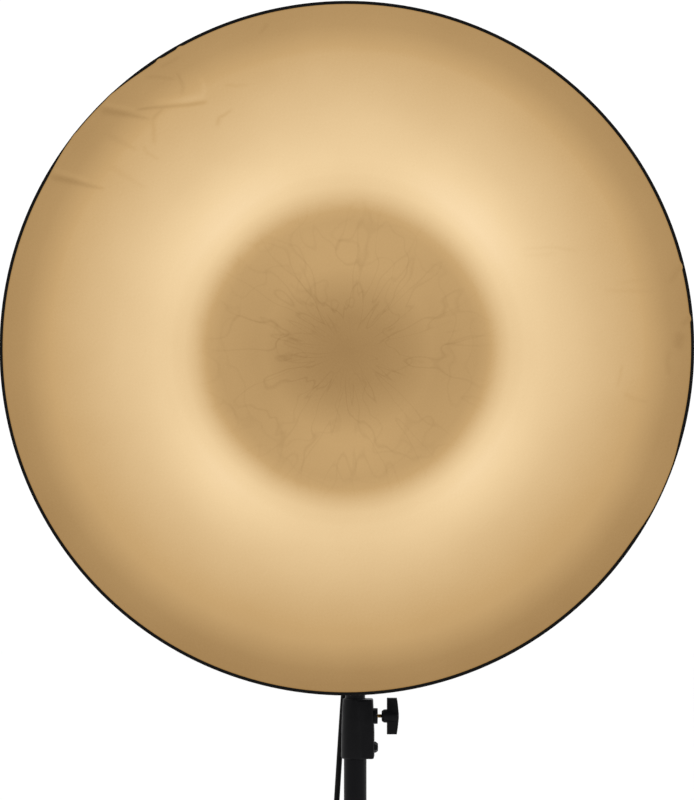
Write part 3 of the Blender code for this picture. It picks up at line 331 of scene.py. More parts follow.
def sharpen(made, degrees=35):
    """Keeps the edges sharper than this crisp, under smooth shading."""
    edges = bmesh.new()
    edges.from_mesh(made.data)
    for edge in edges.edges:
        edge.smooth = len(edge.link_faces) != 2 or edge.calc_face_angle() < radians(degrees)
    edges.to_mesh(made.data)
    edges.free()
    return made


def lathe(name, profile, material, place, steps=SEGMENTS, slot_of=None):
    """A closed profile of (radius, distance) points turned round the local z."""
    count = len(profile)
    points = [
        Vector((r * cos(2 * pi * s / steps), r * sin(2 * pi * s / steps), z))
        for s in range(steps) for r, z in profile
    ]
    faces, slots = [], []
    for s in range(steps):
        after = (s + 1) % steps
        for i in range(count):
            j = (i + 1) % count
            faces.append((s * count + i, s * count + j, after * count + j, after * count + i))
            slots.append(slot_of(i) if slot_of else 0)
    made = piece(name, points, faces, material, place, slots=slots)
    weld(made)
    return sharpen(made)


def weld(made, distance=0.00001):
    """Joins the points that meet on an axis and drops the faces that this flattens."""
    joined = bmesh.new()
    joined.from_mesh(made.data)
    bmesh.ops.remove_doubles(joined, verts=joined.verts, dist=distance)
    bmesh.ops.dissolve_degenerate(joined, edges=joined.edges, dist=distance)
    bmesh.ops.recalc_face_normals(joined, faces=joined.faces)
    joined.to_mesh(made.data)
    joined.free()
    return made


def disc_profile(radius, low, high, edge=0.0006, bore=0.0):
    """The closed outline of a round plate with rounded edges."""
    turn = [pi / 2 * i / 4 for i in range(5)]
    outline = [(radius - edge + edge * sin(t), low + edge - edge * cos(t)) for t in turn]
    outline += [(radius - edge + edge * cos(t), high - edge + edge * sin(t)) for t in turn]
    return outline + [(bore, high), (bore, low)]


def smooth_route(points, spacing):
    """Evenly spaced points on a smooth curve through a route."""
    points = [Vector(p) for p in points]
    ends = [2 * points[0] - points[1], *points, 2 * points[-1] - points[-2]]
    fine = []
    for before, start, end, after in zip(ends, ends[1:], ends[2:], ends[3:]):
        for i in range(24):
            t = i / 24
            fine.append(0.5 * (
                2 * start + (end - before) * t + (2 * before - 5 * start + 4 * end - after) * t * t
                + (3 * start - before - 3 * end + after) * t ** 3
            ))
    fine.append(points[-1])
    return even(fine, spacing)


def even(points, spacing):
    """The same line with its points at equal steps."""
    along = [0.0]
    for a, b in zip(points, points[1:]):
        along.append(along[-1] + (b - a).length)
    count = max(2, round(along[-1] / spacing))
    out, k = [], 0
    for n in range(count + 1):
        want = along[-1] * n / count
        while k < len(points) - 2 and along[k + 1] < want:
            k += 1
        step = along[k + 1] - along[k]
        out.append(points[k].lerp(points[k + 1], (want - along[k]) / step if step else 0.0))
    return out


def tube(name, path, radius, material, sides=20):
    """A round tube along a path, closed at both ends."""
    points, faces = [], []
    side = Vector((1, 0, 0))
    for i, at in enumerate(path):
        ahead = (path[min(i + 1, len(path) - 1)] - path[max(i - 1, 0)]).normalized()
        side = (side - side.dot(ahead) * ahead).normalized()
        up = ahead.cross(side)
        for s in range(sides):
            turn = 2 * pi * s / sides
            points.append(at + radius * (cos(turn) * side + sin(turn) * up))
    for i in range(len(path) - 1):
        for s in range(sides):
            after = (s + 1) % sides
            here, there = i * sides, (i + 1) * sides
            faces.append((here + s, here + after, there + after, there + s))
    last = (len(path) - 1) * sides
    faces.append(tuple(range(sides - 1, -1, -1)))
    faces.append(tuple(range(last, last + sides)))
    return sharpen(piece(name, points, faces, material), 60)


def ease(share):
    share = min(1.0, max(0.0, share))
    return share * share * (3 - 2 * share)


# ---- finishes -----------------------------------------------------------------------------------
PAINT, PLASTIC, RUBBER, JACKET = painted_tube(), moulded(), rubber(), cable_jacket()
WHITE, DISH_BLACK, KNIT, BOARD = dish_white(), dish_black(), elastic(), circuit()
ZINC = metal("yellow_zinc_plate", (0.50, 0.35, 0.14), (0.36, 0.26, 0.13), 0.32)
STEEL = metal("turned_steel", (0.60, 0.60, 0.61), (0.42, 0.42, 0.43), 0.26)
ALUMINIUM = metal("machined_aluminium", (0.72, 0.72, 0.73), (0.55, 0.55, 0.56), 0.34)
GLASS = lamp_glass("lamp_glass", (1.0, 0.76, 0.44), 1.2)
CERAMIC = speckled("ceramic", (0.78, 0.76, 0.70), (0.66, 0.64, 0.58), 0.55, 900.0, 0.15)
SLEEVE = speckled("capacitor_sleeve", (0.030, 0.050, 0.130), (0.045, 0.070, 0.170), 0.38, 700.0,
                  0.1)
FINISHES = {
    "black_paint": PAINT, "black_plastic": PLASTIC, "black_rubber": RUBBER, "white_paint": WHITE,
    "zinc": ZINC, "steel": STEEL, "aluminium": ALUMINIUM, "glass": GLASS, "ceramic": CERAMIC,
    "fabric": WHITE, "elastic": KNIT, "board": BOARD, "sleeve": SLEEVE,
}
node_slot = {entry["node"]: entry["material_slot"] for entry in frame["record"]["subparts"]}


# ---- lit fabric ---------------------------------------------------------------------------------
# Creases of the stretched cloth: places along each as (x, z) shares of the dish radius, width in
# metres at its first and last place, height in metres, and how much painted highlight (+) or
# painted shade (-) they lay on the cloth's glow
CREASES = [
    ([(-0.602, 0.687), (-0.559, 0.692), (-0.454, 0.700), (-0.401, 0.708)],
     0.0014, 0.0021, 0.0005, -0.16),
    ([(-0.550, 0.709), (-0.460, 0.716), (-0.408, 0.724)], 0.0034, 0.0030, 0.0, 0.06),
    ([(-0.707, 0.687), (-0.669, 0.680), (-0.619, 0.671), (-0.564, 0.659)],
     0.0048, 0.0014, 0.0005, -0.13),
    ([(-0.704, 0.704), (-0.644, 0.694), (-0.610, 0.688)], 0.0036, 0.0022, 0.0, 0.06),
    ([(-0.853, 0.495), (-0.788, 0.480), (-0.741, 0.467), (-0.701, 0.459)],
     0.0040, 0.0012, 0.0005, -0.15),
    ([(-0.842, 0.510), (-0.788, 0.496), (-0.742, 0.482)], 0.0040, 0.0022, 0.0, 0.06),
    ([(-0.486, 0.794), (-0.477, 0.773), (-0.469, 0.754), (-0.473, 0.730)],
     0.0014, 0.0020, 0.0003, -0.10),
    ([(-0.327, 0.686), (-0.348, 0.671), (-0.365, 0.662), (-0.371, 0.637)],
     0.0014, 0.0022, 0.0003, -0.10),
    ([(-0.557, 0.659), (-0.553, 0.621), (-0.553, 0.587)], 0.0018, 0.0028, 0.0002, -0.07),
    ([(-0.528, 0.689), (-0.545, 0.673), (-0.557, 0.659)], 0.0014, 0.0017, 0.0003, -0.11),
    ([(-0.576, 0.782), (-0.534, 0.781), (-0.492, 0.774)], 0.0022, 0.0016, 0.0002, -0.06),
    ([(-0.534, 0.811), (-0.505, 0.825), (-0.479, 0.840)], 0.0020, 0.0016, 0.0002, -0.05),
    ([(-0.686, 0.614), (-0.635, 0.587), (-0.602, 0.570)], 0.0034, 0.0018, 0.0002, -0.05),
    ([(-0.678, 0.523), (-0.627, 0.490), (-0.576, 0.460)], 0.0034, 0.0020, 0.0002, -0.035),
    ([(-0.420, 0.781), (-0.407, 0.751), (-0.410, 0.722)], 0.0026, 0.0022, 0.0002, 0.045),
    ([(-0.348, 0.758), (-0.314, 0.754), (-0.281, 0.758)], 0.0020, 0.0018, 0.0002, -0.04),
    ([(-0.585, 0.583), (-0.572, 0.561), (-0.538, 0.542)], 0.0020, 0.0016, 0.0002, -0.05),
    ([(-0.246, 0.905), (-0.235, 0.920), (-0.224, 0.935)], 0.0016, 0.0020, 0.0003, -0.07),
    ([(0.959, 0.041), (0.956, 0.017), (0.951, -0.007)], 0.0060, 0.0050, 0.0006, -0.09),
    ([(0.987, 0.084), (0.977, 0.074), (0.965, 0.061)], 0.0030, 0.0025, 0.0003, -0.06),
    ([(0.794, -0.050), (0.788, -0.080), (0.779, -0.116)], 0.0018, 0.0016, 0.0002, -0.05),
    ([(0.799, -0.136), (0.831, -0.151), (0.864, -0.159)], 0.0020, 0.0016, 0.0002, -0.05),
    ([(0.743, 0.160), (0.815, 0.160), (0.888, 0.158)], 0.0018, 0.0018, 0.0002, -0.035),
    ([(0.508, 0.281), (0.597, 0.286), (0.666, 0.275)], 0.0018, 0.0018, 0.0002, -0.045),
    ([(0.508, 0.261), (0.605, 0.267)], 0.0018, 0.0018, 0.0002, -0.035),
    ([(0.783, 0.181), (0.864, 0.193)], 0.0018, 0.0018, 0.0002, -0.03),
    ([(0.965, 0.235), (0.951, 0.215), (0.928, 0.183)], 0.0024, 0.0030, 0.0002, -0.05),
    ([(0.928, -0.011), (0.920, -0.044), (0.928, -0.080)], 0.0030, 0.0026, 0.0002, -0.05),
]
PLAIN_SHARE = 0.34  # the part of the radius inside which the cloth has no creases
ELASTIC_WIDTH = 0.0034
# Where the cloth creeps over the elastic, and where it is nicked: angle, half width, width left
CREEPS = [(138.0, 9.0, 0.0012), (336.0, 7.0, 0.0015)]
NICKS = [(119.0, 0.5), (123.0, 0.5), (133.0, 0.7), (142.0, 0.6), (4.7, 0.5), (13.5, 0.5)]


def band_width(angle):
    """The visible width of the black elastic at an angle in degrees, 0 at the right."""
    width = ELASTIC_WIDTH
    for at, half, left in CREEPS:
        away = abs((angle - at + 180) % 360 - 180)
        width -= (ELASTIC_WIDTH - left) * ease(1.5 - away / half)
    for at, half in NICKS:
        away = abs((angle - at + 180) % 360 - 180)
        width -= 0.0012 * ease(1.5 - away / half) * (width / ELASTIC_WIDTH)
    return width


def rim_angles():
    """Angles in degrees round the rim, close together where the cloth is creased."""
    angles, at = [], 0.0
    while at < 360.0 - 0.3:
        angles.append(at)
        busy = 100 <= at <= 158 or at <= 32 or at >= 346
        at += 0.4 if busy else 1.6
    return angles


def crease_at(x, z):
    """(height, painted shade) of the creases at a place on the cloth, in shares of the radius."""
    height = shade = 0.0
    for places, first, last, rise, painted_shading in CREASES:
        margin = 3.0 * max(first, last) / DISH_RADIUS
        ends = (places[0], places[-1])
        if not min(e[0] for e in ends) - margin < x < max(e[0] for e in ends) + margin:
            continue
        nearest, share = 9.0, 0.0
        for k in range(len(places) - 1):
            (from_x, from_z), (to_x, to_z) = places[k], places[k + 1]
            along_x, along_z = to_x - from_x, to_z - from_z
            held = ((x - from_x) * along_x + (z - from_z) * along_z) / (along_x ** 2 + along_z ** 2)
            held = min(1.0, max(0.0, held))
            away = sqrt((x - from_x - held * along_x) ** 2 + (z - from_z - held * along_z) ** 2)
            if away < nearest:
                nearest, share = away, (k + held) / (len(places) - 1)
        away = nearest * DISH_RADIUS / (first + (last - first) * share)
        if away < 3.0:
            taper = sqrt(max(0.0, 1 - (2 * share - 1) ** 4)) * 0.8 + 0.2
            fall = exp(-away * away) * taper
            height += rise * fall
            # painted shade and painted highlight along the crease: darker for a negative value,
            # lighter for a positive one
            shade += painted_shading * fall
    return height, shade


def fabric():
    """The stretched cloth as a thin, finely divided disc, and its creases with their painted shade.
    """
    angles = rim_angles()
    front_rings = [PLAIN_SHARE * (i + 1) / 26 for i in range(26)]
    front_rings += [PLAIN_SHARE + (1 - PLAIN_SHARE) * (i + 1) / 160 for i in range(160)]
    back_rings = [(i + 1) / 12 for i in range(12)]
    back = FABRIC_FRONT + 0.0006
    points, crease_painted_shades, faces = [], [], []
    starts = []
    for side, rings in enumerate((front_rings, back_rings)):
        starts.append(len(points))
        for share in rings:
            for angle in angles:
                edge = DISH_RADIUS - band_width(angle) + 0.0005
                r = share * edge
                turn = radians(angle)
                x, z = r * cos(turn) / DISH_RADIUS, r * sin(turn) / DISH_RADIUS
                height, shade = crease_at(x, z) if side == 0 else (0.0, 0.0)
                slack = 0.0007 * ease((share - 0.93) / 0.07)
                y = (FABRIC_FRONT if side == 0 else back) - height * (1 - share ** 30) + slack
                points.append((CENTRE.x + r * cos(turn), y, CENTRE.z + r * sin(turn)))
                crease_painted_shades.append(shade)
    count = len(angles)
    for side, rings in enumerate((front_rings, back_rings)):
        base = starts[side]
        middle = len(points)
        points.append((CENTRE.x, FABRIC_FRONT if side == 0 else back, CENTRE.z))
        crease_painted_shades.append(0.0)
        for k in range(count):
            after = (k + 1) % count
            faces.append((middle, base + k, base + after))
            for i in range(len(rings) - 1):
                a, b = base + i * count, base + (i + 1) * count
                faces.append((a + k, b + k, b + after, a + after))
    outer = count * (len(front_rings) - 1)
    inner = starts[1] + count * (len(back_rings) - 1)
    for k in range(count):
        after = (k + 1) % count
        faces.append((outer + k, inner + k, inner + after, outer + after))
    made = piece("stretched_fabric", points, faces, lit_cloth())
    # the creases' painted shade and highlight, kept on the points for the cloth's glow
    field = made.data.attributes.new("crease", "FLOAT", "POINT")
    field.data.foreach_set("value", crease_painted_shades)
    return made


def srgb(*numbers):
    """A colour given as eight-bit display numbers, in linear light."""
    shares = [n / 255 for n in numbers]
    return tuple(c / 12.92 if c < 0.0404 else ((c + 0.055) / 1.055) ** 2.4 for c in shares)


ROOM_SHARE = (0.085, 0.069, 0.046)  # the light of the room that the cloth sends back
# Seed, how often they branch round the middle, how far they wander outwards, and strength of their
# painted shade
HAIRLINE_SHADES = [(0.0, 1.9, 3.4, 0.085), (7.3, 2.7, 2.6, 0.070), (3.1, 1.3, 5.5, 0.050)]


def lit_cloth():
    """Warm cloth painted with the glow of the lamp inside: a dim disc of painted shadow before the
    deflector, a bright ring, and a fall to the rim.
    """
    n = Nodes("lit_diffuser_cloth")
    x, y, z = n.split(n.vector("SUBTRACT", n.place, tuple(CENTRE)))
    radius = n.math("SQRT", n.math("ADD", n.math("POWER", x, 2.0), n.math("POWER", z, 2.0)))
    # The deflector's painted shadow is shifted a little off the middle of the cloth
    near = n.math("SUBTRACT", 1.0, n.math("DIVIDE", radius, DISH_RADIUS), None, True)
    x = n.math("SUBTRACT", x, n.math("MULTIPLY", near, 0.0036))
    z = n.math("ADD", z, n.math("MULTIPLY", near, 0.0047))
    away = n.math("SQRT", n.math("ADD", n.math("POWER", x, 2.0), n.math("POWER", z, 2.0)))
    away = n.math("DIVIDE", away, DISH_RADIUS)
    # painted light and shade of the lamp inside: the deflector's painted shadow in the middle, a
    # bright ring round it, and a fall towards the rim
    level = n.ramp(away, [
        (0.00, (0.00, 0.00, 0.00)), (0.10, (0.06, 0.06, 0.06)), (0.16, (0.15, 0.15, 0.15)),
        (0.24, (0.33, 0.33, 0.33)), (0.37, (0.36, 0.36, 0.36)), (0.40, (0.46, 0.46, 0.46)),
        (0.44, (0.76, 0.76, 0.76)), (0.47, (0.93, 0.93, 0.93)), (0.51, (1.00, 1.00, 1.00)),
        (0.55, (0.97, 0.97, 0.97)), (0.67, (0.76, 0.76, 0.76)), (0.85, (0.48, 0.48, 0.48)),
        (0.93, (0.18, 0.18, 0.18)), (0.97, (0.12, 0.12, 0.12)),
    ])
    # painted shadows of the deflector's posts: four darker and lighter lobes in a band round the
    # bright ring
    around = n.math("ARCTAN2", z, x)
    post_shadow_lobes = n.math("COSINE", n.math("MULTIPLY", n.math("SUBTRACT", around, radians(45)), 4.0))
    belt = n.math("DIVIDE", n.math("SUBTRACT", away, 0.50), 0.16)
    belt = n.math("SUBTRACT", 1.0, n.math("ABSOLUTE", belt), None, True)
    level = n.math("ADD", level, n.math("MULTIPLY", n.math("MULTIPLY", post_shadow_lobes, belt), 0.10))
    # painted light: the glow is brighter towards the top and darker towards the bottom
    level = n.math("ADD", level, n.math("MULTIPLY", z, 0.22))
    # painted shade and painted highlight of the creases
    level = n.math("ADD", level, n.attribute("crease"))
    # The deflector's painted shadow has a core wider than it is high
    painted_shadow_core = n.math("DIVIDE", n.math("SUBTRACT", away, 0.27), 0.17)
    painted_shadow_core = n.math("SUBTRACT", 1.0, n.math("ABSOLUTE", painted_shadow_core), None, True)
    upright = n.math("COSINE", n.math("MULTIPLY", around, 2.0))
    level = n.math("SUBTRACT", level, n.math("MULTIPLY", n.math("MULTIPLY", upright, painted_shadow_core), 0.10))
    # Fine diagonal weave, painted shade of hairline creases that wander out from the middle, and
    # soft unevenness
    slant = n.join(n.math("MULTIPLY", n.math("ADD", x, z), 760.0), 0.0,
                   n.math("MULTIPLY", n.math("SUBTRACT", x, z), 260.0))
    weave = n.math("SUBTRACT", n.noise(1.0, 3.0, 0.6, slant), 0.5)
    level = n.math("ADD", level, n.math("MULTIPLY", weave, 0.15))
    inside = n.math("MULTIPLY", n.between(away, 0.02, 0.12), n.between(away, 0.30, 0.46, 1.0, 0.0))
    for seed, turns, reach, strength in HAIRLINE_SHADES:
        wander = n.join(n.math("COSINE", around), n.math("SINE", around),
                        n.math("MULTIPLY", away, reach / turns))
        field = n.noise(turns, 2.0, 0.55, n.vector("ADD", wander, (seed, seed, seed)))
        hairline_shade = n.math("MULTIPLY", n.math("ABSOLUTE", n.math("SUBTRACT", field, 0.5)), 70.0)
        hairline_shade = n.math("MULTIPLY", n.math("SUBTRACT", 1.0, hairline_shade, None, True), inside)
        level = n.math("SUBTRACT", level, n.math("MULTIPLY", hairline_shade, strength))
    cloud = n.math("SUBTRACT", n.noise(9.0, 3.0, 0.5), 0.5)
    level = n.math("ADD", level, n.math("MULTIPLY", cloud, 0.14))
    colour = n.ramp(n.between(level, -0.5, 1.25), [
        (0.00, srgb(112, 82, 45)), (0.2857, srgb(160, 126, 80)), (0.56, srgb(199, 163, 111)),
        (0.8571, srgb(239, 208, 159)), (1.00, srgb(254, 226, 182)),
    ])
    n.set(Base_Color=(0.075, 0.060, 0.040), Roughness=n.between(weave, -0.2, 0.2, 0.88, 0.96))
    n.shader.inputs["Specular IOR Level"].default_value = 0.1
    glow = n.vector("SUBTRACT", colour, ROOM_SHARE)
    n.plug(glow, n.shader.inputs["Emission Color"])
    n.shader.inputs["Emission Strength"].default_value = 1.0
    n.bump(weave, 0.3, 0.0004)
    return n.material


def rim_band():
    """The elastic that pulls the cloth's edge round the metal rim."""
    angles = rim_angles()
    points, faces = [], []
    front, hem = FABRIC_FRONT, rim_high.y
    for angle in angles:
        width = band_width(angle)
        turn = radians(angle)
        outline = [
            (DISH_RADIUS - width, front + 0.0008), (DISH_RADIUS - width, front - 0.0002),
            (DISH_RADIUS - width * 0.70, front - 0.0007),
            (DISH_RADIUS - width * 0.30, front - 0.0006),
            (DISH_RADIUS - 0.0002, front + 0.0004), (DISH_RADIUS, front + 0.0020),
            (DISH_RADIUS, hem - 0.0020), (DISH_RADIUS - 0.0002, hem - 0.0004),
            (DISH_RADIUS - 0.0009, hem), (DISH_RADIUS - ELASTIC_WIDTH + 0.0004, hem),
            (DISH_RADIUS - ELASTIC_WIDTH + 0.0004, front + 0.0008),
        ]
        points += [(CENTRE.x + r * cos(turn), y, CENTRE.z + r * sin(turn)) for r, y in outline]
    count = len(outline)
    for k in range(len(angles)):
        after = (k + 1) % len(angles)
        for i in range(count):
            j = (i + 1) % count
            faces.append((k * count + i, k * count + j, after * count + j, after * count + i))
    return sharpen(weld(piece("rim_elastic_band", points, faces, KNIT)), 50)


cloth = fabric()
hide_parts("diffuser")
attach(cloth, "reflector")
band = rim_band()
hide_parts("rim_elastic")
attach(band, "reflector")


# ---- dish ---------------------------------------------------------------------------------------
FLOOR_RADIUS = 0.080
HUB_RADIUS = 0.0475
BOWL_RADIUS = 0.325
BOWL_DEPTH_SHARE = 0.765  # of the dish's depth, the rest being its rim
SHEET = 0.0012


def dish():
    """The spun dish: white inside, black outside, with a rolled rim and a flat floor."""
    back, front = -dish_high.y + AXIS.y, -dish_low.y + AXIS.y
    rim = rim_high.z - CENTRE.z - ELASTIC_WIDTH - 0.0006
    deep = (front - back) * BOWL_DEPTH_SHARE
    steps = 36
    curve = []
    for i in range(steps + 1):
        r = FLOOR_RADIUS + (BOWL_RADIUS - FLOOR_RADIUS) * i / steps
        curve.append((r, back + SHEET + deep * (i / steps) ** 1.5))
    inside = [(HUB_RADIUS, back + SHEET), *curve, (rim - 0.0050, front - 0.0125),
              (rim - SHEET, front - 0.0085), (rim - SHEET, front - SHEET),
              (rim - 0.0060, front - SHEET), (rim - 0.0060, front)]
    outside = [(rim - 0.0010, front), (rim, front - 0.0010), (rim, front - 0.0090),
               (rim - 0.0040, front - 0.0135)]
    outside += [(r + SHEET * 0.6, d - SHEET * 0.8) for r, d in reversed(curve)]
    outside.append((HUB_RADIUS, back))
    last = len(inside + outside) - 1
    made = lathe("spun_dish", inside + outside, [WHITE, DISH_BLACK], OPTICS,
                 slot_of=lambda i: 0 if i < len(inside) - 1 or i == last else 1)
    return made


shell = dish()
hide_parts("dish_shell")
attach(shell, "reflector")


# ---- mains lead ---------------------------------------------------------------------------------
LEAD_DIAMETER = 0.0063
HEAD_ROUTE = [
    (-.0260, .1935, 1.0660), (-.0260, .2100, 1.0655), (-.0255, .2290, 1.0590),
    (-.0245, .2400, 1.0430), (-.0230, .2420, 1.0230), (-.0205, .2340, 1.0030),
    (-.0170, .2160, .9860), (-.0130, .1890, .9740),
    (-.0090, .1560, .9680), (-.0055, .1220, .9680), (-.0030, .0900, .9725), (-.0012, .0620, .9765),
    (-.0003, .0430, .9740), (0, .0322, .9655), (0, .0284, .9540), (0, .0279, .9440),
    (0, .0279, .9360),
]
LINK_ROUTE = [
    (0, .0279, .9360), (0, .0278, .9330), (0, .0272, .9270), (0, .0240, .9170), (0, .0206, .9085),
    (0, .0200, .9030), (0, .0200, .8893),
]
DROP_ROUTE = [
    (0, .0200, .8893), (0, .0200, .8780), (-.0020, .0204, .8500), (-.0060, .0215, .8050),
    (-.0102, .0226, .7640), (-.0139, .0235, .7240), (-.0177, .0245, .6680), (-.0213, .0255, .6120),
    (-.0262, .0268, .5400), (-.0320, .0285, .4600), (-.0388, .0306, .3700), (-.0452, .0330, .2800),
    (-.0512, .0358, .1900), (-.0562, .0392, .1120), (-.0606, .0436, .0560), (-.0668, .0482, .0240),
    (-.0760, .0535, .0080), (-.0880, .0600, .0040), (-.1007, .0680, .0035), (-.1095, .0760, .0035),
    (-.1185, .0865, .0035),
]
COIL_PLACE = Vector((-.1640, .0780, 0.0))
COIL_ARRIVAL = 40.4  # degrees round the coil where the drop meets it
COIL_IN, COIL_OUT = .0343, .0407  # radii of the two columns of turns
COIL_LAYERS = [0.0035 + 0.0064 * i for i in range(4)]
# (degrees along the coil, radius, height) between which the lead lies level, then steps
COIL_STEPS = [
    (0, COIL_OUT, 0), (325, COIL_OUT, 0), (360, COIL_IN, 0), (645, COIL_IN, 0), (685, COIL_IN, 1),
    (965, COIL_IN, 1), (1005, COIL_OUT, 1), (1285, COIL_OUT, 1), (1325, COIL_OUT, 2),
    (1605, COIL_OUT, 2), (1645, COIL_IN, 2), (1880, COIL_IN, 2), (1922, COIL_OUT + 0.0012, 3),
    (1942, COIL_OUT + 0.0026, 3),
]
TAIL_ROUTE = [
    (-.2078, .0700, .0230), (-.2086, .0650, .0226), (-.2094, .0590, .0208), (-.2092, .0520, .0188),
    (-.2084, .0460, .0173), (-.2080, .0400, .0173),
]


def coil_path():
    """The lead's turns: two columns, climbing from layer to layer without crossing."""
    out = []
    for before, after in zip(COIL_STEPS, COIL_STEPS[1:]):
        steps = max(2, round((after[0] - before[0]) / 4))
        for i in range(steps):
            share = ease(i / steps)
            degrees = before[0] + (after[0] - before[0]) * i / steps
            r = before[1] + (after[1] - before[1]) * share
            z = COIL_LAYERS[before[2]] + (COIL_LAYERS[after[2]] - COIL_LAYERS[before[2]]) * share
            turn = radians(COIL_ARRIVAL + degrees)
            out.append(COIL_PLACE + Vector((r * cos(turn), r * sin(turn), z)))
    return out


head_path = [p + AXIS for p in smooth_route(HEAD_ROUTE, 0.0035)]
link_path = [p + AXIS for p in smooth_route(LINK_ROUTE, 0.0020)]
drop = smooth_route(DROP_ROUTE, 0.0040)
ground = even(drop + coil_path() + smooth_route(TAIL_ROUTE, 0.0040), 0.0034)
ground_path = [p + AXIS for p in ground]
lead_head = tube("mains_lead_head", head_path, LEAD_DIAMETER / 2, JACKET)
lead_link = tube("mains_lead_link", link_path, LEAD_DIAMETER / 2, JACKET)
lead_ground = tube("mains_lead_ground", ground_path, LEAD_DIAMETER / 2, JACKET)
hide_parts("cord_head")
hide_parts("cord_link")
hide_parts("cord_drop", "cord_coil", "cord_tail")
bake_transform(lead_head)
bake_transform(lead_link)
collar_low, collar_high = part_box("clamp_collar")
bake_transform(lead_ground)


# ---- stand hardware -----------------------------------------------------------------------------
def joined(base, adds=(), cuts=(), edge=0.0):
    """One mesh from a base and its tools, its sharp edges rounded."""
    for tools, operation in ((adds, "UNION"), (cuts, "DIFFERENCE")):
        for tool in tools:
            step = base.modifiers.new(tool.name, "BOOLEAN")
            step.operation, step.object, step.solver = operation, tool, "EXACT"
    if edge:
        bevel = base.modifiers.new("edges", "BEVEL")
        bevel.width, bevel.segments, bevel.limit_method = edge, 3, "ANGLE"
        bevel.angle_limit = radians(32)
    seen = base.evaluated_get(bpy.context.evaluated_depsgraph_get())
    mesh = bpy.data.meshes.new_from_object(seen)
    base.modifiers.clear()
    base.data = mesh
    for tool in (*adds, *cuts):
        bpy.data.objects.remove(tool)
    mesh.shade_smooth()
    return sharpen(base, 40)


def prism(name, outline, thickness, place, material):
    """An upright outline of (x, z) points, as thick as asked along y about its middle."""
    count = len(outline)
    points = [(x, y, z) for y in (-thickness / 2, thickness / 2) for x, z in outline]
    faces = [tuple(range(count)), tuple(range(2 * count - 1, count - 1, -1))]
    faces += [(i, i + count, (i + 1) % count + count, (i + 1) % count) for i in range(count)]
    return piece(name, points, faces, material, place, smooth=False)


def along_x(place):
    """The frame whose z runs along the x of another."""
    return place @ Matrix.Rotation(pi / 2, 4, "Y")


KNOB_LENGTH = 0.0186
KNOB_HUB = 0.0074
WING_HALF = 0.0199
WING_BULGE = 0.0019


def knob(name, start, place, reach):
    """A T-shaped clamp knob along the x of its place, with its pressed-in screw when it has one."""
    end = start + KNOB_LENGTH
    outline = disc_profile(KNOB_HUB, start, end, 0.0010)
    outline[0:5] = [(KNOB_HUB - 0.0021, start), (KNOB_HUB - 0.0012, start + 0.0008),
                    (KNOB_HUB - 0.0004, start + 0.0020), (KNOB_HUB, start + 0.0034)]
    hub = lathe(name, outline, PLASTIC, along_x(place), 48)
    wing_start = start + 0.0058
    curve = (WING_HALF ** 2 + WING_BULGE ** 2) / (2 * WING_BULGE)
    swing = asin(WING_HALF / curve)
    edge = [
        (end - curve + curve * cos(swing * (1 - i / 8)), curve * sin(swing * (1 - i / 8)))
        for i in range(17)
    ]
    outline = edge + [(wing_start, -WING_HALF), (wing_start, WING_HALF)]
    wing = prism(name + "_wing", outline, 0.0085, place, PLASTIC)
    made = joined(hub, adds=(wing,), edge=0.0008)
    cap = lathe(name + "_cap", disc_profile(0.0042, end - 0.0010, end + 0.0003, 0.0003), PLASTIC,
                along_x(place), 32)
    cap.parent = made
    if reach is not None:
        screw = threaded(name + "_screw", 0.0030, reach, start + 0.001, along_x(place), ZINC)
        screw.parent = made
    return made


def threaded(name, radius, start, end, place, material, pitch=0.0008):
    """A screw as a stack of fine ridges."""
    depth = pitch * 0.42
    turns = max(1, round((end - start) / pitch))
    outline = [(0.0, start), (radius - depth, start)]
    for i in range(turns):
        at = start + (end - start) * i / turns
        outline += [(radius, at + pitch * 0.5), (radius - depth, at + pitch)]
    outline[-1] = (radius - depth, end)
    outline.append((0.0, end))
    return lathe(name, outline, material, place, 32)


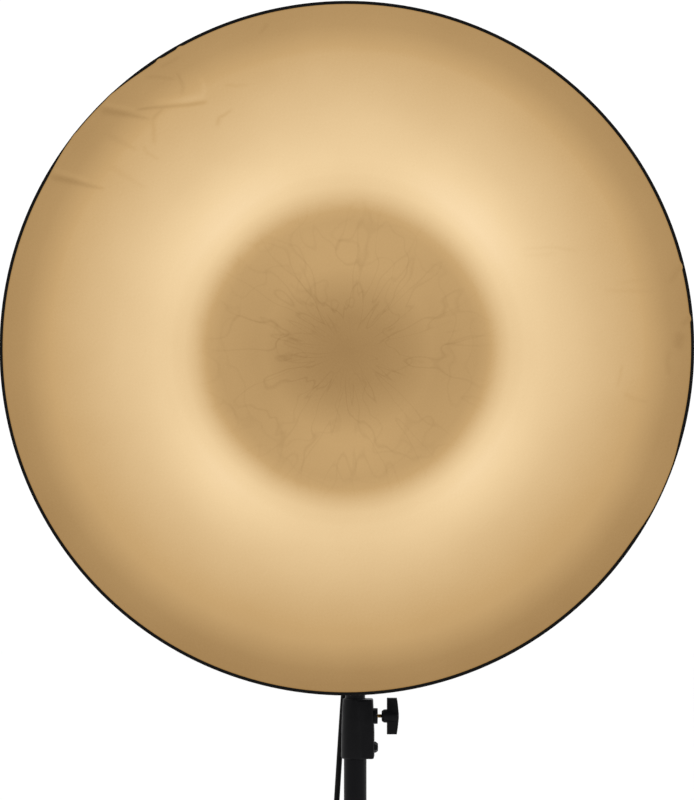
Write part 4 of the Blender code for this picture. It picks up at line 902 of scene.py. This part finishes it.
def clamp():
    """The collar that clamps the riser: a drafted barrel with a jaw, a screw boss and a bolt."""
    low, high = collar_low.z, collar_high.z
    screw_z = sum(c.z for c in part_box("clamp_screw")) / 2
    bolt_z = sum(c.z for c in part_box("clamp_bolt")) / 2
    face = 0.0210
    neck = RISER_RADIUS + 0.0026
    wide = COLUMN_RADIUS + 0.0003
    barrel = COLUMN_RADIUS + 0.0027
    inner = RISER_RADIUS + 0.0005
    outline = [
        (inner, high - 0.0006), (inner + 0.0006, high), (neck - 0.0008, high),
        (neck, high - 0.0008),
        (neck + 0.0007, high - 0.0100), (barrel - 0.0004, high - 0.0240), (barrel, high - 0.0330),
        (barrel + 0.0004, low + 0.0022), (barrel - 0.0002, low + 0.0008), (barrel - 0.0012, low),
        (wide + 0.0003, low), (wide, low + 0.0004), (wide, high - 0.0257), (inner, high - 0.0257),
    ]
    body = lathe("collar_body", outline, PLASTIC, STAND, 96)
    root, top, step = 0.001, high - 0.0003, high - 0.0257
    jaw = prism("jaw", [(root, low + 0.0003), (face, low + 0.0003), (face, low + 0.030),
                        (face - 0.0014, top), (root, top)], 0.0270, STAND, PLASTIC)
    around = disc_profile(wide + 0.0005, low - 0.01, step + 0.0003, 0.0001)
    lower = lathe("jaw_around_column", around, PLASTIC, STAND, 96)
    around = disc_profile(inner + 0.0005, step - 0.01, high + 0.01, 0.0001)
    upper = lathe("jaw_around_riser", around, PLASTIC, STAND, 96)
    rounded = joined(joined(jaw, edge=0.0020), cuts=(lower, upper))
    boss = lathe("boss", disc_profile(0.0087, face - 0.003, face + 0.0038, 0.0007), PLASTIC,
                 along_x(STAND @ Matrix.Translation((0, 0, screw_z))), 64)
    made = joined(body, adds=(rounded, boss))
    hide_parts("clamp_collar")
    bolt_place = along_x(STAND @ Matrix.Translation((0, 0, bolt_z)))
    outline = [(0.0, face + 0.0001), (0.0062, face + 0.0001), (0.0062, face + 0.0012),
               (0.0058, face + 0.0020), (0.0042, face + 0.0041), (0.0, face + 0.0043)]
    head = lathe("clamp_bolt_head", outline, PAINT, bolt_place, 6)
    head.data.shade_flat()
    head.parent = made
    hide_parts("clamp_bolt")
    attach(made, "column")
    return made


def straight_tube(name, node, wall, material, body):
    """A drawn tube in place of a coarser one, with its cut ends broken."""
    low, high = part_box(node)
    r = (high.x - low.x) / 2
    outline = [
        (r - 0.0003, low.z), (r, low.z + 0.0003), (r, high.z - 0.0003), (r - 0.0003, high.z),
        (r - wall + 0.0002, high.z), (r - wall, high.z - 0.0002), (r - wall, low.z + 0.0002),
        (r - wall + 0.0002, low.z),
    ]
    made = lathe(name, outline, material, STAND, 96)
    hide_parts(node)
    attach(made, body)
    return made


straight_tube("column_drawn_tube", "column_tube", 0.0012, PAINT, "column")
straight_tube("riser_drawn_tube", "riser_tube", 0.0015, PAINT, "riser")
clamp()
screw_low, screw_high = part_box("clamp_screw")
SCREW_AXIS = STAND @ Matrix.Translation((0, 0, (screw_low.z + screw_high.z) / 2))
clamp_t = knob("clamp_t_knob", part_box("clamp_knob")[0].x - AXIS.x, SCREW_AXIS, None)
plated = threaded("clamp_plated_screw", 0.0021, screw_low.x - AXIS.x, screw_high.x - AXIS.x,
                  along_x(SCREW_AXIS), ZINC)
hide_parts("clamp_screw")
plated.parent = clamp_t
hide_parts("clamp_knob")
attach(clamp_t, "clamp_knob")
socket_low, socket_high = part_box("socket_knob")
socket_t = knob("socket_t_knob", socket_high.x - AXIS.x - KNOB_LENGTH,
                STAND @ Matrix.Translation((0, 0, (socket_low.z + socket_high.z) / 2)),
                socket_low.x - AXIS.x)
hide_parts("socket_knob")
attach(socket_t, "socket_knob")
lower_low, lower_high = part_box("leg_collar_knob")
lower_t = knob("leg_collar_t_knob", 0.0268,
               STAND @ Matrix.Translation((0, 0, (lower_low.z + lower_high.z) / 2))
               @ Matrix.Rotation(radians(30), 4, "Z"), COLUMN_RADIUS + 0.0003)
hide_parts("leg_collar_knob")
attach(lower_t, "leg_collar_knob")


for name, node in NODES.items():
    if node_slot.get(name) and not node.hide_render:
        node.data.materials.clear()
        node.data.materials.append(FINISHES[node_slot[name]])


# ---- room, light and camera ---------------------------------------------------------------------
def area_light(name, place, aim, size, power, colour=(1.0, 1.0, 1.0)):
    data = bpy.data.lights.new(name, "AREA")
    data.shape, data.size, data.energy, data.color = "DISK", size, power, colour
    made = bpy.data.objects.new(name, data)
    made.location = place
    made.rotation_euler = (Vector(aim) - Vector(place)).to_track_quat("-Z", "Y").to_euler()
    bpy.context.scene.collection.objects.link(made)
    return made


def room():
    floor = Nodes("pale_floor")
    floor.set(Base_Color=(0.95, 0.95, 0.95), Roughness=0.9)
    span = 14.0
    ground = piece("floor", [(-span, -span, -0.0005), (span, -span, -0.0005), (span, span, -0.0005),
                             (-span, span, -0.0005)], [(0, 1, 2, 3)], floor.material, smooth=False)
    world = bpy.data.worlds.new("studio_white")
    bpy.context.scene.world = world
    world.use_nodes = True
    world.node_tree.nodes["Background"].inputs["Color"].default_value = (1.0, 1.0, 1.0, 1.0)
    world.node_tree.nodes["Background"].inputs["Strength"].default_value = 1.06
    area_light("key", (-2.2, -2.6, 3.2), (0, 0, 0.8), 1.8, 26)
    area_light("fill", (2.6, -1.6, 2.2), (0, 0, 0.7), 1.8, 16)
    area_light("rim", (0.8, 3.0, 2.8), (0, 0, 0.9), 1.8, 26)
    scene = bpy.context.scene
    scene.view_settings.view_transform = "Standard"
    scene.view_settings.look = "None"


def camera():
    data = bpy.data.cameras.new("product_camera")
    data.lens = 134.4
    data.sensor_width = 36.0
    data.dof.use_dof = False
    made = bpy.data.objects.new("product_camera", data)
    made.location = (CENTRE.x + 0.108, FABRIC_FRONT - 3.0, CENTRE.z - 0.14)
    aim = Vector((CENTRE.x + 0.0016, FABRIC_FRONT, CENTRE.z - 0.0534))
    made.rotation_euler = (aim - made.location).to_track_quat("-Z", "Y").to_euler()
    bpy.context.scene.collection.objects.link(made)
    bpy.context.scene.camera = made


room()
camera()
